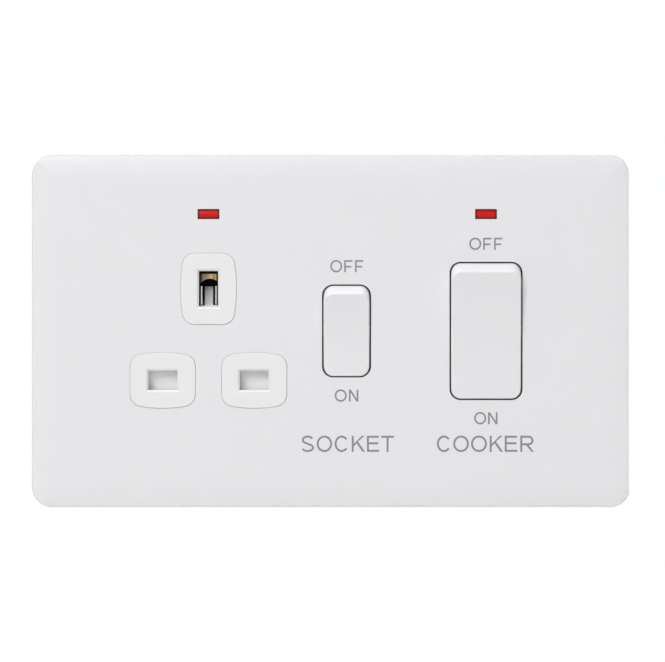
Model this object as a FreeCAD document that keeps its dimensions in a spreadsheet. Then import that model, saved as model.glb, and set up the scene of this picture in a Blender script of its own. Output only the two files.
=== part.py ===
import FreeCAD, Part
import math
import os
import Sketcher
from FreeCAD import Placement, Rotation, Vector
from types import SimpleNamespace

# Cooker control unit: one 13 A socket outlet with its own switch and a two-pole cooker switch,
# on a two-gang plate with a clip-on cover. Millimetres; +X right and +Z up as seen from the front,
# the wall is the plane y = 0, the face looks towards -Y and the housing reaches into the wall box.

SIZES = {
    # clip-on cover
    "cover_wide": 146.0,
    "cover_high": 86.0,
    "cover_deep": 8.0,
    "cover_corner": 5.0,
    "cover_face": 2.0,
    "cover_wall": 2.2,
    "cover_draft": 3.0,
    "cover_edge": 1.0,
    "falloff_wide": 6.0,
    "falloff_drop": 0.5,
    "nib_long": 5.6,
    "nib_thick": 1.2,
    "nib_clearance": 0.3,
    # steel frame behind the cover
    "frame_inset_across": 4.0,
    "frame_inset_up": 3.5,
    "frame_thick": 1.5,
    "frame_corner": 3.0,
    "window_high": 47.0,
    "window_corner": 2.0,
    "fixing_inset": 8.7,
    "fixing_hole": 4.2,
    "tab_across": 45.0,
    "tab_long": 10.0,
    "tab_deep": 4.0,
    # socket outlet
    "socket_across": -29.83,
    "pin_row_up": -12.0,
    "pin_pitch": 22.23,
    "pin_slot_wide": 6.95,
    "pin_slot_high": 4.66,
    "earth_slot_wide": 4.66,
    "earth_slot_high": 8.68,
    "slot_lead_in": 0.5,
    "pin_pad_wide": 15.85,
    "pin_pad_high": 13.62,
    "earth_pad_wide": 13.65,
    "earth_pad_high": 17.3,
    "pad_bulge": 0.42,
    "pad_corner": 3.0,
    "pad_gap": 0.07,
    "pad_proud": 0.15,
    "pad_edge": 0.2,
    # front mouldings on the frame
    "moulding_margin": 6.0,
    "pad_to_edge": 4.13,
    "opening_to_edge": 6.525,
    "moulding_foot": 2.6,
    "moulding_split": -7.3,
    "moulding_gap": 0.4,
    "deck_clearance": 0.4,
    "deck_thick": 1.9,
    "rim_thick": 1.6,
    "moulding_corner": 2.0,
    # rockers
    "socket_switch_across": 3.71,
    "socket_opening_wide": 11.92,
    "socket_opening_high": 22.6,
    "cooker_switch_across": 37.6,
    "cooker_opening_wide": 17.75,
    "cooker_opening_high": 33.6,
    "opening_corner": 2.7,
    "opening_relief": 30.0,
    "rocker_gap": 0.38,
    "rocker_tilt": 7.4,
    "rocker_pivot_depth": 6.0,
    "rocker_sag": 0.7,
    "rocker_edge": 0.4,
    "rocker_wall": 1.6,
    "rocker_skirt": 1.5,
    "trunnion_radius": 1.5,
    "trunnion_long": 1.9,
    "trunnion_clearance": 0.05,
    "well_clearance": 0.35,
    "ear_thick": 2.8,
    "ear_half_high": 3.4,
    "ear_below_pivot": 2.6,
    # plungers and see-saw contact arms
    "plunger_radius": 1.6,
    "plunger_reach": 12.0,
    "plunger_stem": 9.0,
    "plunger_clearance": 0.15,
    "boss_wall": 1.0,
    "boss_reach": 6.0,
    "spring_coil": 1.15,
    "spring_wire": 0.35,
    "arm_clearance": 0.15,
    "arm_thick": 1.5,
    "socket_arm_half": 10.5,
    "cooker_arm_half": 13.0,
    "arm_wide": 5.0,
    "tip_inset": 2.0,
    "tip_radius": 1.7,
    "tip_thick": 0.9,
    "contact_gap": 0.25,
    "knife_radius": 0.8,
    "knife_clearance": 0.1,
    "pole_half_pitch": 4.7,
    # flat metal parts
    "strip_thick": 1.2,
    "strip_setback": 3.3,
    "pin_half_wide": 2.0,
    "leaf_thick": 0.6,
    "leaf_nose": 0.34,
    "leaf_pinch": 0.1,
    "leaf_spread": 0.8,
    "leaf_flare": 1.2,
    "leaf_wide": 5.5,
    "earth_leaf_high": 7.6,
    "earth_leaf_inset": 0.5,
    "finger_high": 4.5,
    "finger_long": 9.0,
    "web_arch_top": 12.85,
    "web_arch_radius": 2.86,
    "web_arch_half": 2.6,
    "leaf_run": 4.0,
    "foot_half_wide": 3.2,
    # shutter
    "shutter_travel": 5.0,
    "shutter_thick": 2.0,
    "shutter_clearance": 0.3,
    "shutter_plate_high": 5.7,
    "shutter_plate_wide": 8.4,
    "shutter_stem_wide": 5.0,
    "tongue_wide": 2.0,
    "tongue_top": 10.9,
    "tongue_overlap": 0.1,
    "stem_rise": 0.45,
    "return_coil": 0.85,
    "return_wire": 0.3,
    # rear housing
    "housing_lip": 0.5,
    "housing_lip_up": 3.4,
    "housing_deep": 26.0,
    "housing_wall": 2.0,
    "housing_corner": 4.0,
    "housing_edge": 1.0,
    "housing_screw_inset": 2.8,
    "housing_screw_up": 14.0,
    "housing_boss": 2.6,
    "screw_radius": 1.2,
    "screw_clearance": 0.3,
    "screw_head_radius": 2.2,
    "screw_head_high": 1.6,
    "rib_thick": 1.2,
    "guide_half_pitch": 6.0,
    # terminals
    "block_wide": 8.5,
    "block_deep": 10.0,
    "block_high": 11.0,
    "cable_radius": 2.9,
    "cable_ahead": 4.4,
    "clamp_radius": 1.9,
    "clamp_head_radius": 2.7,
    "clamp_retract": 0.4,
    "access_clearance": 0.6,
    "notch_clearance": 0.7,
    "terminal_half_pitch": 6.6,
    "earth_terminal_half_pitch": 8.0,
    # neon indicators
    "neon_up": 28.4,
    "neon_wide": 5.3,
    "neon_high": 2.45,
    "neon_clearance": 0.12,
    "neon_recess": 0.3,
    "neon_flange": 1.0,
    "neon_flange_rim": 0.9,
    "neon_tab_half_wide": 9.0,
    "neon_tab_top": 32.6,
    "neon_pocket_half_wide": 7.3,
    "neon_pocket_half_high": 1.7,
    "lamp_radius": 1.4,
    "lamp_long": 7.2,
    "resistor_radius": 0.95,
    "resistor_long": 5.4,
    "lead_radius": 0.25,
    "over_cut": 1.0,
}

doc = FreeCAD.newDocument("cooker_control_unit")
sheet = doc.addObject("Spreadsheet::Sheet", "Sizes")
for row, (alias, number) in enumerate(SIZES.items(), start=1):
    sheet.set(f"A{row}", alias.replace("_", " "))
    sheet.set(f"B{row}", str(number))
    sheet.setAlias(f"B{row}", alias)
doc.recompute()


class Size:
    """A number together with the sheet formula that it stands for."""

    def __init__(self, text, value):
        self.text = text
        self.value = float(value)

    def joined(self, sign, other, value):
        return Size(f"({self.text} {sign} {as_size(other).text})", value)

    def __add__(self, other):
        return self.joined("+", other, self.value + as_size(other).value)

    def __sub__(self, other):
        return self.joined("-", other, self.value - as_size(other).value)

    def __mul__(self, other):
        return self.joined("*", other, self.value * as_size(other).value)

    def __truediv__(self, other):
        return self.joined("/", other, self.value / as_size(other).value)

    def __neg__(self):
        return self * -1

    def __radd__(self, other):
        return as_size(other) + self

    def __rsub__(self, other):
        return as_size(other) - self

    def __rmul__(self, other):
        return as_size(other) * self


def as_size(number):
    if isinstance(number, Size):
        return number
    return Size(f"({number})", number)


def root(number):
    return Size(f"sqrt({number.text})", math.sqrt(number.value))


def sine(angle):
    return Size(f"sin({angle.text})", math.sin(math.radians(angle.value)))


def cosine(angle):
    return Size(f"cos({angle.text})", math.cos(math.radians(angle.value)))


def bind(thing, path, number):
    thing.setExpression(path, as_size(number).text)


d = SimpleNamespace(**{alias: Size(f"Sizes.{alias}", sheet.get(alias)) for alias in SIZES})


# Sketches: every corner is fixed by two bound distances and every arc by its bound radius.

def circle(across, up, radius):
    return {"circle": (as_size(across), as_size(up), as_size(radius))}


def rectangle(left, right, low, high):
    return [(left, low), (right, low), (right, high), (left, high)]


def rounded(left, right, low, high, radius):
    turn = (radius, 1)
    return [
        (left + radius, low) + turn,
        (right - radius, low),
        (right, low + radius) + turn,
        (right, high - radius),
        (right - radius, high) + turn,
        (left + radius, high),
        (left, high - radius) + turn,
        (left, low + radius),
    ]


def turned_back(corner):
    return (corner[2], -corner[3]) if len(corner) == 4 else ()


def mirrored(corners):
    # reflects the second coordinate; the arcs then turn the other way
    return [(corner[0], -corner[1]) + turned_back(corner) for corner in corners]


def swapped(corners):
    # exchanges the two coordinates; the arcs then turn the other way
    return [(corner[1], corner[0]) + turned_back(corner) for corner in corners]


def arc_between(start, end, radius, turn):
    chord = end - start
    middle = (start + end) / 2
    reach = math.sqrt(max(radius ** 2 - chord.Length ** 2 / 4, 0.0))
    side = Vector(-chord.y, chord.x, 0) / chord.Length
    centre = middle + side * (reach * turn)
    first, last = (start, end) if turn > 0 else (end, start)
    angles = [math.atan2(point.y - centre.y, point.x - centre.x) for point in (first, last)]
    return Part.ArcOfCircle(Part.Circle(centre, Vector(0, 0, 1), radius), *angles)


def fix_point(sketch, geometry, end, across, up):
    for kind, number in (("DistanceX", across), ("DistanceY", up)):
        index = sketch.addConstraint(Sketcher.Constraint(kind, -1, 1, geometry, end, as_size(number).value))
        bind(sketch, f"Constraints[{index}]", number)


def fix_radius(sketch, geometry, radius):
    index = sketch.addConstraint(Sketcher.Constraint("Radius", geometry, as_size(radius).value))
    bind(sketch, f"Constraints[{index}]", radius)


def draw_outline(sketch, corners):
    points = [Vector(as_size(corner[0]).value, as_size(corner[1]).value, 0) for corner in corners]
    runs = []
    for index, corner in enumerate(corners):
        start, end = points[index - 1], points[index]
        if len(corner) == 4:
            radius, turn = corner[2], corner[3]
            geometry = sketch.addGeometry(arc_between(start, end, as_size(radius).value, turn))
            fix_radius(sketch, geometry, radius)
            runs.append((geometry, 1, 2) if turn > 0 else (geometry, 2, 1))
        else:
            geometry = sketch.addGeometry(Part.LineSegment(start, end))
            runs.append((geometry, 1, 2))
    for index, (geometry, _, tail) in enumerate(runs):
        following = runs[(index + 1) % len(runs)]
        sketch.addConstraint(Sketcher.Constraint("Coincident", geometry, tail, following[0], following[1]))
        fix_point(sketch, geometry, tail, corners[index][0], corners[index][1])


def new_sketch(body, name, plane, level, shapes):
    sketch = body.newObject("Sketcher::SketchObject", f"{body.Name}_{name}_outline")
    origin_plane = next(item for item in body.Origin.OriginFeatures if item.Role == plane)
    sketch.AttachmentSupport = [(origin_plane, "")]
    sketch.MapMode = "FlatFace"
    bind(sketch, "AttachmentOffset.Base.z", level)
    for shape in shapes:
        if isinstance(shape, dict):
            across, up, radius = shape["circle"]
            ring = Part.Circle(Vector(across.value, up.value, 0), Vector(0, 0, 1), radius.value)
            geometry = sketch.addGeometry(ring)
            fix_point(sketch, geometry, 3, across, up)
            fix_radius(sketch, geometry, radius)
        else:
            draw_outline(sketch, shape)
    return sketch


# Features. A span runs along the body's own axis; y spans are given front first, so that
# (front, back) reads as the eye meets them.

def new_body(name):
    body = doc.addObject("PartDesign::Body", name)
    body.Label = name
    return body


def extrusion(body, kind, name, axis, span, shapes, taper=None):
    low, high = span
    plane, level = {
        "x": ("YZ_Plane", low if kind == "Pad" else high),
        "y": ("XZ_Plane", -high if kind == "Pad" else -low),
        "z": ("XY_Plane", low if kind == "Pad" else high),
    }[axis]
    feature = body.newObject(f"PartDesign::{kind}", f"{body.Name}_{name}")
    feature.Profile = new_sketch(body, name, plane, level, shapes)
    bind(feature, "Length", high - low)
    if taper is not None:
        bind(feature, "TaperAngle", taper)
    return feature


def pad(body, name, axis, span, *shapes, taper=None):
    return extrusion(body, "Pad", name, axis, span, shapes, taper)


def pocket(body, name, axis, span, *shapes, taper=None):
    return extrusion(body, "Pocket", name, axis, span, shapes, taper)


def edges_where(feature, test):
    doc.recompute()
    return [f"Edge{index}" for index, edge in enumerate(feature.Shape.Edges, start=1) if test(edge)]


def dress(body, kind, name, feature, test, number):
    found = edges_where(feature, test)
    dressing = body.newObject(f"PartDesign::{kind}", f"{body.Name}_{name}")
    dressing.Base = (feature, found)
    bind(dressing, "Radius" if kind == "Fillet" else "Size", number)
    return dressing


def near(number, target):
    return abs(number - as_size(target).value) < 1e-4


def lies_at(edge, axis, target):
    box = edge.BoundBox
    low, high = getattr(box, f"{axis}Min"), getattr(box, f"{axis}Max")
    return near(low, target) and near(high, target)


def place(thing, across=0, depth=0, up=0, axis=None, angle=None):
    if axis is not None:
        thing.Placement = Placement(Vector(), Rotation(axis, 1.0))
        bind(thing, "Placement.Rotation.Angle", angle)
    for path, number in (("x", across), ("y", depth), ("z", up)):
        bind(thing, f"Placement.Base.{path}", number)


# Levels and places that several pieces share

face_y = -d.cover_deep
inner_face_y = face_y + d.cover_face
frame_y = -d.frame_thick
deck_y = inner_face_y + d.deck_clearance
deck_back_y = deck_y + d.deck_thick
neon_tab_y = inner_face_y + d.neon_flange
bed_back_y = neon_tab_y + 2 * d.lamp_radius + d.shutter_clearance / 2
pivot_y = face_y + d.rocker_pivot_depth
earth_up = d.pin_row_up + d.pin_pitch
live_across = d.socket_across + d.pin_pitch / 2
neutral_across = d.socket_across - d.pin_pitch / 2
moulding_left = neutral_across - d.pin_pad_wide / 2 - d.pad_to_edge
moulding_right = d.cooker_switch_across + d.cooker_opening_wide / 2 + d.opening_to_edge
window_left, window_right = moulding_left + d.moulding_margin, moulding_right - d.moulding_margin
moulding_half_high = d.window_high / 2 + d.moulding_foot
housing_back_y = d.housing_deep
housing_inside_y = housing_back_y - d.housing_wall
housing_left, housing_right = moulding_left - d.housing_lip, moulding_right + d.housing_lip
housing_half_high = moulding_half_high + d.housing_lip_up
housing_inside_up = housing_half_high - d.housing_wall
screw_places = (moulding_left + d.housing_screw_inset, moulding_right - d.housing_screw_inset)
frame_half_wide = d.cover_wide / 2 - d.frame_inset_across
frame_half_high = d.cover_high / 2 - d.frame_inset_up
block_y = housing_inside_y - d.block_deep
cable_y = block_y + d.cable_ahead
block_inner_up = housing_inside_up - d.block_high
terminal_up = housing_inside_up - d.block_high / 2
arm_y = pivot_y + d.plunger_reach + d.arm_clearance + d.arm_thick
strip_y = arm_y + d.strip_setback
strip_back_y = strip_y + d.strip_thick
foot_y = block_y - d.strip_thick
busbar_back_y = strip_back_y + d.strip_thick
crossing_y = busbar_back_y + d.strip_thick
crossing_back_y = crossing_y + d.strip_thick
busbar_low = d.pin_row_up
busbar_high = busbar_low + d.arm_wide + d.tip_thick
live_pole = d.cooker_switch_across - d.pole_half_pitch
neutral_pole = d.cooker_switch_across + d.pole_half_pitch
live_terminal = d.cooker_switch_across - d.terminal_half_pitch
neutral_terminal = d.cooker_switch_across + d.terminal_half_pitch
earth_terminals = tuple(d.socket_across + side * d.earth_terminal_half_pitch for side in (-1, 1))
neon_places = (d.socket_across, d.cooker_switch_across)

ROCKERS = {
    "socket": SimpleNamespace(
        across=d.socket_switch_across,
        wide=d.socket_opening_wide,
        high=d.socket_opening_high,
        poles=(d.socket_switch_across,),
        arm_half=d.socket_arm_half,
    ),
    "cooker": SimpleNamespace(
        across=d.cooker_switch_across,
        wide=d.cooker_opening_wide,
        high=d.cooker_opening_high,
        poles=(live_pole, neutral_pole),
        arm_half=d.cooker_arm_half,
    ),
}
for rocker in ROCKERS.values():
    rocker.half_wide = rocker.wide / 2 - d.rocker_gap
    # the ends are arcs about the pivot that pass the front of the opening with the gap
    half_end = rocker.high / 2 - d.rocker_gap
    rocker.end_radius = root(half_end * half_end + d.rocker_pivot_depth * d.rocker_pivot_depth)
    # the face stands so far forward that the pressed end lies level with the cover
    rocker.face_ahead = d.rocker_pivot_depth + half_end * sine(d.rocker_tilt)
    rocker.face_half = root(rocker.end_radius * rocker.end_radius - rocker.face_ahead * rocker.face_ahead)


def bulged(across, up, wide, high, grow, bulge_sides):
    # rounded outline whose top and bottom, or left and right, bow out a little
    left, right = across - wide / 2 - grow, across + wide / 2 + grow
    low, high_edge = up - high / 2 - grow, up + high / 2 + grow
    radius = d.pad_corner + grow
    corners = rounded(left, right, low, high_edge, radius)
    half_run = (high / 2 if bulge_sides else wide / 2) - d.pad_corner
    bow = (half_run * half_run + d.pad_bulge * d.pad_bulge) / (2 * d.pad_bulge)
    for index in ((3, 7) if bulge_sides else (1, 5)):
        corners[index] = corners[index][:2] + (bow, 1)
    return corners


def pads(grow):
    pin_pads = [
        bulged(across, d.pin_row_up, d.pin_pad_wide, d.pin_pad_high - 2 * d.pad_bulge, grow, False)
        for across in (live_across, neutral_across)
    ]
    straight_wide = d.earth_pad_wide - 2 * d.pad_bulge
    return pin_pads + [bulged(d.socket_across, earth_up, straight_wide, d.earth_pad_high, grow, True)]


# Cover

def make_front_cover():
    body = new_body("front_cover")
    half_wide, half_high = d.cover_wide / 2, d.cover_high / 2
    outer = rounded(-half_wide, half_wide, -half_high, half_high, d.cover_corner)
    block = pad(body, "block", "y", (face_y, as_size(0)), outer, taper=-d.cover_draft)
    dress(body, "Fillet", "front_edge", block, lambda edge: lies_at(edge, "Y", face_y), d.cover_edge)

    # the face falls away towards all four edges in a large arc
    bow = (d.falloff_wide * d.falloff_wide + d.falloff_drop * d.falloff_drop) / (2 * d.falloff_drop)
    over_y, low_y = face_y - d.over_cut, face_y + d.falloff_drop

    def falloff(edge_at):
        inner, outside = edge_at - d.falloff_wide, edge_at + d.over_cut
        beyond = [(low_y, outside), (over_y, outside), (over_y, inner)]
        return [(face_y, inner), (low_y, edge_at, bow, -1)] + beyond

    long_side, short_side = falloff(half_high), falloff(half_wide)
    across_all = (-half_wide - d.over_cut, half_wide + d.over_cut)
    up_all = (-half_high - d.over_cut, half_high + d.over_cut)
    pocket(body, "long_sides", "x", across_all, long_side, mirrored(long_side))
    pocket(body, "short_sides", "z", up_all, swapped(short_side), swapped(mirrored(short_side)))

    inside_wide, inside_high = half_wide - d.cover_wall, half_high - d.cover_wall
    inside = rounded(-inside_wide, inside_wide, -inside_high, inside_high, d.cover_corner - d.cover_wall)
    pocket(body, "inside", "y", (inner_face_y, as_size(0)), inside)
    pocket(body, "pad_openings", "y", (over_y, inner_face_y), *pads(d.pad_gap))
    for name, rocker in ROCKERS.items():
        left, right = rocker.across - rocker.wide / 2, rocker.across + rocker.wide / 2
        opening = rounded(left, right, -rocker.high / 2, rocker.high / 2, d.opening_corner)
        pocket(body, f"{name}_opening", "y", (face_y, inner_face_y), opening, taper=d.opening_relief)
    half_wide, half_high = d.neon_wide / 2, d.neon_high / 2
    windows = [
        rectangle(across - half_wide, across + half_wide, d.neon_up - half_high, d.neon_up + half_high)
        for across in neon_places
    ]
    pocket(body, "neon_windows", "y", (over_y, inner_face_y), *windows)

    # nibs inside the rim that snap into the slots of the frame's upright tabs
    slot_y = frame_y - d.tab_deep / 2
    half_nib = d.nib_long / 2
    nibs = [
        rectangle(x - half_nib, x + half_nib, slot_y - d.nib_thick / 2, slot_y + d.nib_thick / 2)
        for x in (-d.tab_across, d.tab_across)
    ]
    reach = frame_half_high - d.frame_thick
    pad(body, "upper_nibs", "z", (reach, inside_high + d.nib_clearance), *nibs)
    pad(body, "lower_nibs", "z", (-inside_high - d.nib_clearance, -reach), *nibs)
    return body


def make_mounting_frame():
    body = new_body("mounting_frame")
    half_wide, half_high = frame_half_wide, frame_half_high
    span = (frame_y, as_size(0))
    pad(body, "plate", "y", span, rounded(-half_wide, half_wide, -half_high, half_high, d.frame_corner))
    window_high, notch_high = d.window_high / 2, d.ear_half_high + d.rib_thick
    window = rounded(window_left, window_right, -window_high, window_high, d.window_corner)
    pocket(body, "window", "y", span, window)
    notches = rectangle(window_left - d.ear_thick, window_right + d.ear_thick, -notch_high, notch_high)
    pocket(body, "ear_notches", "y", span, notches)
    fixing_across = half_wide - d.fixing_inset
    fixings = [circle(x, 0, d.fixing_hole / 2) for x in (-fixing_across, fixing_across)]
    pocket(body, "fixing_holes", "y", span, *fixings)
    pocket(body, "screw_holes", "y", span, *screw_circles(d.screw_radius + d.screw_clearance))
    tabs = [
        rectangle(x - d.tab_long / 2, x + d.tab_long / 2, low, high)
        for x in (-d.tab_across, d.tab_across)
        for low, high in ((half_high - d.frame_thick, half_high), (-half_high, -half_high + d.frame_thick))
    ]
    pad(body, "clip_tabs", "y", (frame_y - d.tab_deep, frame_y), *tabs)
    slot_y = frame_y - d.tab_deep / 2
    half_slot = d.nib_long / 2 + d.nib_clearance
    half_tall = d.nib_thick / 2 + d.nib_clearance
    slots = [
        rectangle(x - half_slot, x + half_slot, slot_y - half_tall, slot_y + half_tall)
        for x in (-d.tab_across, d.tab_across)
    ]
    pocket(body, "tab_slots", "z", (-half_high - d.over_cut, half_high + d.over_cut), *slots)
    return body


def screw_circles(radius):
    return [
        circle(across, up, radius)
        for across in screw_places
        for up in (-d.housing_screw_up, d.housing_screw_up)
    ]


# Front mouldings: the socket face and the carrier of the two rockers

def make_tray(body, left, right, neon_across, screw_across):
    # a deck with a rim that stands on the frame, and an ear above it for the neon lamp
    low, high = -moulding_half_high, moulding_half_high
    span = (deck_y, frame_y)
    pad(body, "tray", "y", span, rounded(left, right, low, high, d.moulding_corner))
    inner = (left + d.rim_thick, right - d.rim_thick, low + d.rim_thick, high - d.rim_thick)
    pocket(body, "hollow", "y", (deck_back_y, frame_y), rectangle(*inner))
    bosses = [circle(screw_across, up, d.housing_boss) for up in (-d.housing_screw_up, d.housing_screw_up)]
    pad(body, "screw_bosses", "y", (deck_back_y, frame_y), *bosses)
    pilots = [circle(screw_across, up, d.screw_radius) for up in (-d.housing_screw_up, d.housing_screw_up)]
    pocket(body, "pilot_holes", "y", (deck_back_y - d.deck_thick / 2, frame_y), *pilots)
    half_ear = d.neon_tab_half_wide
    ear = rounded(neon_across - half_ear, neon_across + half_ear, high - d.moulding_corner * 1.5,
                  d.neon_tab_top, d.moulding_corner / 2)
    pad(body, "neon_ear", "y", (neon_tab_y, frame_y), ear)
    half_wide, half_high = d.neon_pocket_half_wide, d.neon_pocket_half_high
    left_bed, right_bed = neon_across - half_wide, neon_across + half_wide
    lamp_bed = rectangle(left_bed, right_bed, d.neon_up - half_high, d.neon_up + half_high)
    pocket(body, "lamp_bed", "y", (neon_tab_y - d.over_cut, bed_back_y), lamp_bed)


def make_socket_face():
    body = new_body("socket_face")
    right = d.moulding_split - d.moulding_gap / 2
    make_tray(body, moulding_left, right, d.socket_across, screw_places[0])
    raised = pad(body, "pads", "y", (face_y - d.pad_proud, deck_y), *pads(as_size(0)))
    front = face_y - d.pad_proud
    dress(body, "Fillet", "pad_edges", raised, lambda edge: lies_at(edge, "Y", front), d.pad_edge)
    half_wide, half_high = d.pin_slot_wide / 2, d.pin_slot_high / 2
    slots = [
        rectangle(x - half_wide, x + half_wide, d.pin_row_up - half_high, d.pin_row_up + half_high)
        for x in (live_across, neutral_across)
    ]
    earth_wide, earth_high = d.earth_slot_wide / 2, d.earth_slot_high / 2
    slots.append(rectangle(d.socket_across - earth_wide, d.socket_across + earth_wide,
                           earth_up - earth_high, earth_up + earth_high))
    ways = pocket(body, "pin_ways", "y", (front - d.over_cut, deck_back_y), *slots)

    def is_slot_mouth(edge):
        middle = edge.BoundBox.Center
        in_pin = abs(middle.z - d.pin_row_up.value) < half_high.value + 0.1
        in_earth = abs(middle.x - d.socket_across.value) < earth_wide.value + 0.1
        beside = [abs(middle.x - across.value) for across in (live_across, neutral_across)]
        at_pin = in_pin and min(beside) < half_wide.value + 0.1
        at_earth = in_earth and abs(middle.z - earth_up.value) < earth_high.value + 0.1
        return lies_at(edge, "Y", front) and (at_pin or at_earth)

    dress(body, "Chamfer", "lead_ins", ways, is_slot_mouth, d.slot_lead_in)
    # seat of the shutter's return spring
    peg = circle(d.socket_across, return_spring_y, d.return_coil - d.return_wire)
    pad(body, "spring_peg", "z", (return_seat_up - d.rim_thick / 2, return_seat_up + d.over_cut), peg)
    return body


def make_switch_carrier():
    body = new_body("switch_carrier")
    left = d.moulding_split + d.moulding_gap / 2
    make_tray(body, left, moulding_right, d.cooker_switch_across, screw_places[1])
    ear_back_y = pivot_y + d.ear_below_pivot
    wells, ears, left_walls, right_walls = [], [], [], []
    for rocker in ROCKERS.values():
        half_well = rocker.half_wide + d.well_clearance
        half_high = rocker.end_radius + d.well_clearance
        wells.append(rectangle(rocker.across - half_well, rocker.across + half_well, -half_high, half_high))
        left_walls.append(rocker.across - half_well)
        right_walls.append(rocker.across + half_well)
    for wall in left_walls:
        ears.append(rectangle(wall - d.ear_thick, wall, -d.ear_half_high, d.ear_half_high))
    for wall in right_walls:
        ears.append(rectangle(wall, wall + d.ear_thick, -d.ear_half_high, d.ear_half_high))
    pad(body, "bearing_ears", "y", (deck_y, ear_back_y), *ears)
    pocket(body, "wells", "y", (deck_y - d.over_cut, deck_back_y), *wells)
    # blind bearings for the trunnions
    bearing = circle(pivot_y, 0, d.trunnion_radius + d.trunnion_clearance)
    for index, (low, high) in enumerate(zip(left_walls, right_walls), start=1):
        pocket(body, f"left_bearing_{index}", "x", (low - d.trunnion_long, low), bearing)
        pocket(body, f"right_bearing_{index}", "x", (high, high + d.trunnion_long), bearing)
    return body


# Rockers, modelled about their own pivot and then tipped to ON

def make_rocker(name, rocker):
    body = new_body(f"{name}_rocker")
    half = rocker.half_wide
    front, half_face, end = -rocker.face_ahead, rocker.face_half, rocker.end_radius
    skirt = -d.rocker_skirt
    skirt_half = root(end * end - d.rocker_skirt * d.rocker_skirt)
    face_bow = (half_face * half_face + d.rocker_sag * d.rocker_sag) / (2 * d.rocker_sag)
    side_view = [
        (skirt, -skirt_half),
        (skirt, skirt_half),
        (front, half_face, end, 1),
        (front, -half_face, face_bow, -1),
    ]
    side_view[0] = side_view[0] + (end, 1)
    block = pad(body, "block", "x", (-half, half), side_view)

    def is_upright_corner(edge):
        box = edge.BoundBox
        beside = near(abs(box.XMin), half) and near(box.XMin, box.XMax)
        return beside and abs(box.Center.z) > half_face.value - 0.5 and box.YLength > 1.0

    corner_radius = d.opening_corner - d.rocker_gap
    rounded_block = dress(body, "Fillet", "corners", block, is_upright_corner, corner_radius)

    def is_face_rim(edge):
        box = edge.BoundBox
        return box.YMax < front.value + d.rocker_sag.value + 0.35 and box.YMin < skirt.value - 1.0

    dress(body, "Fillet", "face_rim", rounded_block, is_face_rim, d.rocker_edge)
    inner_half = half - d.rocker_wall
    inner_high = half_face - d.rocker_wall
    roof = front + d.rocker_sag + d.rocker_wall
    hollow = rectangle(-inner_half, inner_half, -inner_high, inner_high)
    pocket(body, "hollow", "y", (roof, skirt), hollow)

    # cheeks carry the trunnions, bosses carry the sprung plungers
    cheek_tip = d.trunnion_radius + d.rocker_wall / 2
    cheek = [(roof, -2 * cheek_tip), (cheek_tip, -cheek_tip), (cheek_tip, cheek_tip), (roof, 2 * cheek_tip)]
    trunnion = circle(0, 0, d.trunnion_radius)
    pad(body, "left_cheek", "x", (-half, -inner_half), cheek)
    pad(body, "right_cheek", "x", (inner_half, half), cheek)
    pad(body, "left_trunnion", "x", (-half - d.trunnion_long + d.well_clearance / 2, -inner_half), trunnion)
    pad(body, "right_trunnion", "x", (inner_half, half + d.trunnion_long - d.well_clearance / 2), trunnion)
    bore = d.plunger_radius + d.plunger_clearance
    centres = [pole - rocker.across for pole in rocker.poles]
    pad(body, "bosses", "y", (roof, d.boss_reach), *[circle(x, 0, bore + d.boss_wall) for x in centres])
    pocket(body, "boss_bores", "y", (roof, d.boss_reach), *[circle(x, 0, bore) for x in centres])
    tip(body, rocker.across)
    return body


def tip(thing, across):
    place(thing, across, pivot_y, 0, Vector(1, 0, 0), d.rocker_tilt)


def make_plunger(name, rocker, pole):
    body = new_body(name)
    radius, reach = d.plunger_radius, d.plunger_reach
    stem_back = reach - d.plunger_stem
    nose_length = radius / 2
    # nylon pin with a rounded nose and a stepped tail that centres the spring
    half_section = [
        (0, 0),
        (d.spring_coil - d.spring_wire, 0),
        (d.spring_coil - d.spring_wire, nose_length),
        (radius, nose_length),
        (radius, d.plunger_stem - nose_length),
        (radius / 2, d.plunger_stem, radius, 1),
        (0, d.plunger_stem),
    ]
    turned(body, "pin", half_section)
    pole_place(body, rocker, pole, stem_back)
    return body


def make_plunger_spring(name, rocker, pole):
    body = new_body(name)
    roof = -rocker.face_ahead + d.rocker_sag + d.rocker_wall
    tail = d.plunger_reach - d.plunger_stem + d.plunger_radius / 2
    coil(body, d.spring_coil, d.spring_wire, tail - roof - d.spring_wire, 5)
    pole_place(body, rocker, pole, roof + d.spring_wire / 2)
    return body


def turned(body, name, half_section):
    feature = body.newObject("PartDesign::Revolution", f"{body.Name}_{name}")
    sketch = new_sketch(body, name, "XZ_Plane", 0, [half_section])
    feature.Profile = sketch
    feature.ReferenceAxis = (sketch, ["V_Axis"])
    feature.Angle = 360.0
    return feature


def coil(body, radius, wire, length, turns):
    half = wire / 2
    feature = body.newObject("PartDesign::AdditiveHelix", f"{body.Name}_coil")
    sketch = new_sketch(body, "coil", "XZ_Plane", 0, [rectangle(radius - half, radius + half, -half, half)])
    feature.Profile = sketch
    feature.ReferenceAxis = (sketch, ["V_Axis"])
    feature.Mode = "height-turns-angle"
    bind(feature, "Height", length)
    feature.Turns = turns
    return feature


def pole_place(body, rocker, pole, ahead):
    # stands a piece that is modelled along +Z on the tipped rocker's plunger axis, ahead of the pivot
    angle = d.rocker_tilt
    body.Placement = Placement(Vector(), Rotation(Vector(-1, 0, 0), 1.0))
    bind(body, "Placement.Rotation.Angle", 90 - angle)
    bind(body, "Placement.Base.x", pole)
    bind(body, "Placement.Base.y", pivot_y + ahead * cosine(angle))
    bind(body, "Placement.Base.z", ahead * sine(angle))


# See-saw contact arms, modelled about the knife edge and then tipped to ON

def arm_tip_up(rocker):
    return rocker.arm_half - d.tip_inset


def arm_place(body, pole):
    place(body, pole, arm_y, 0, Vector(-1, 0, 0), d.rocker_tilt)


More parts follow.
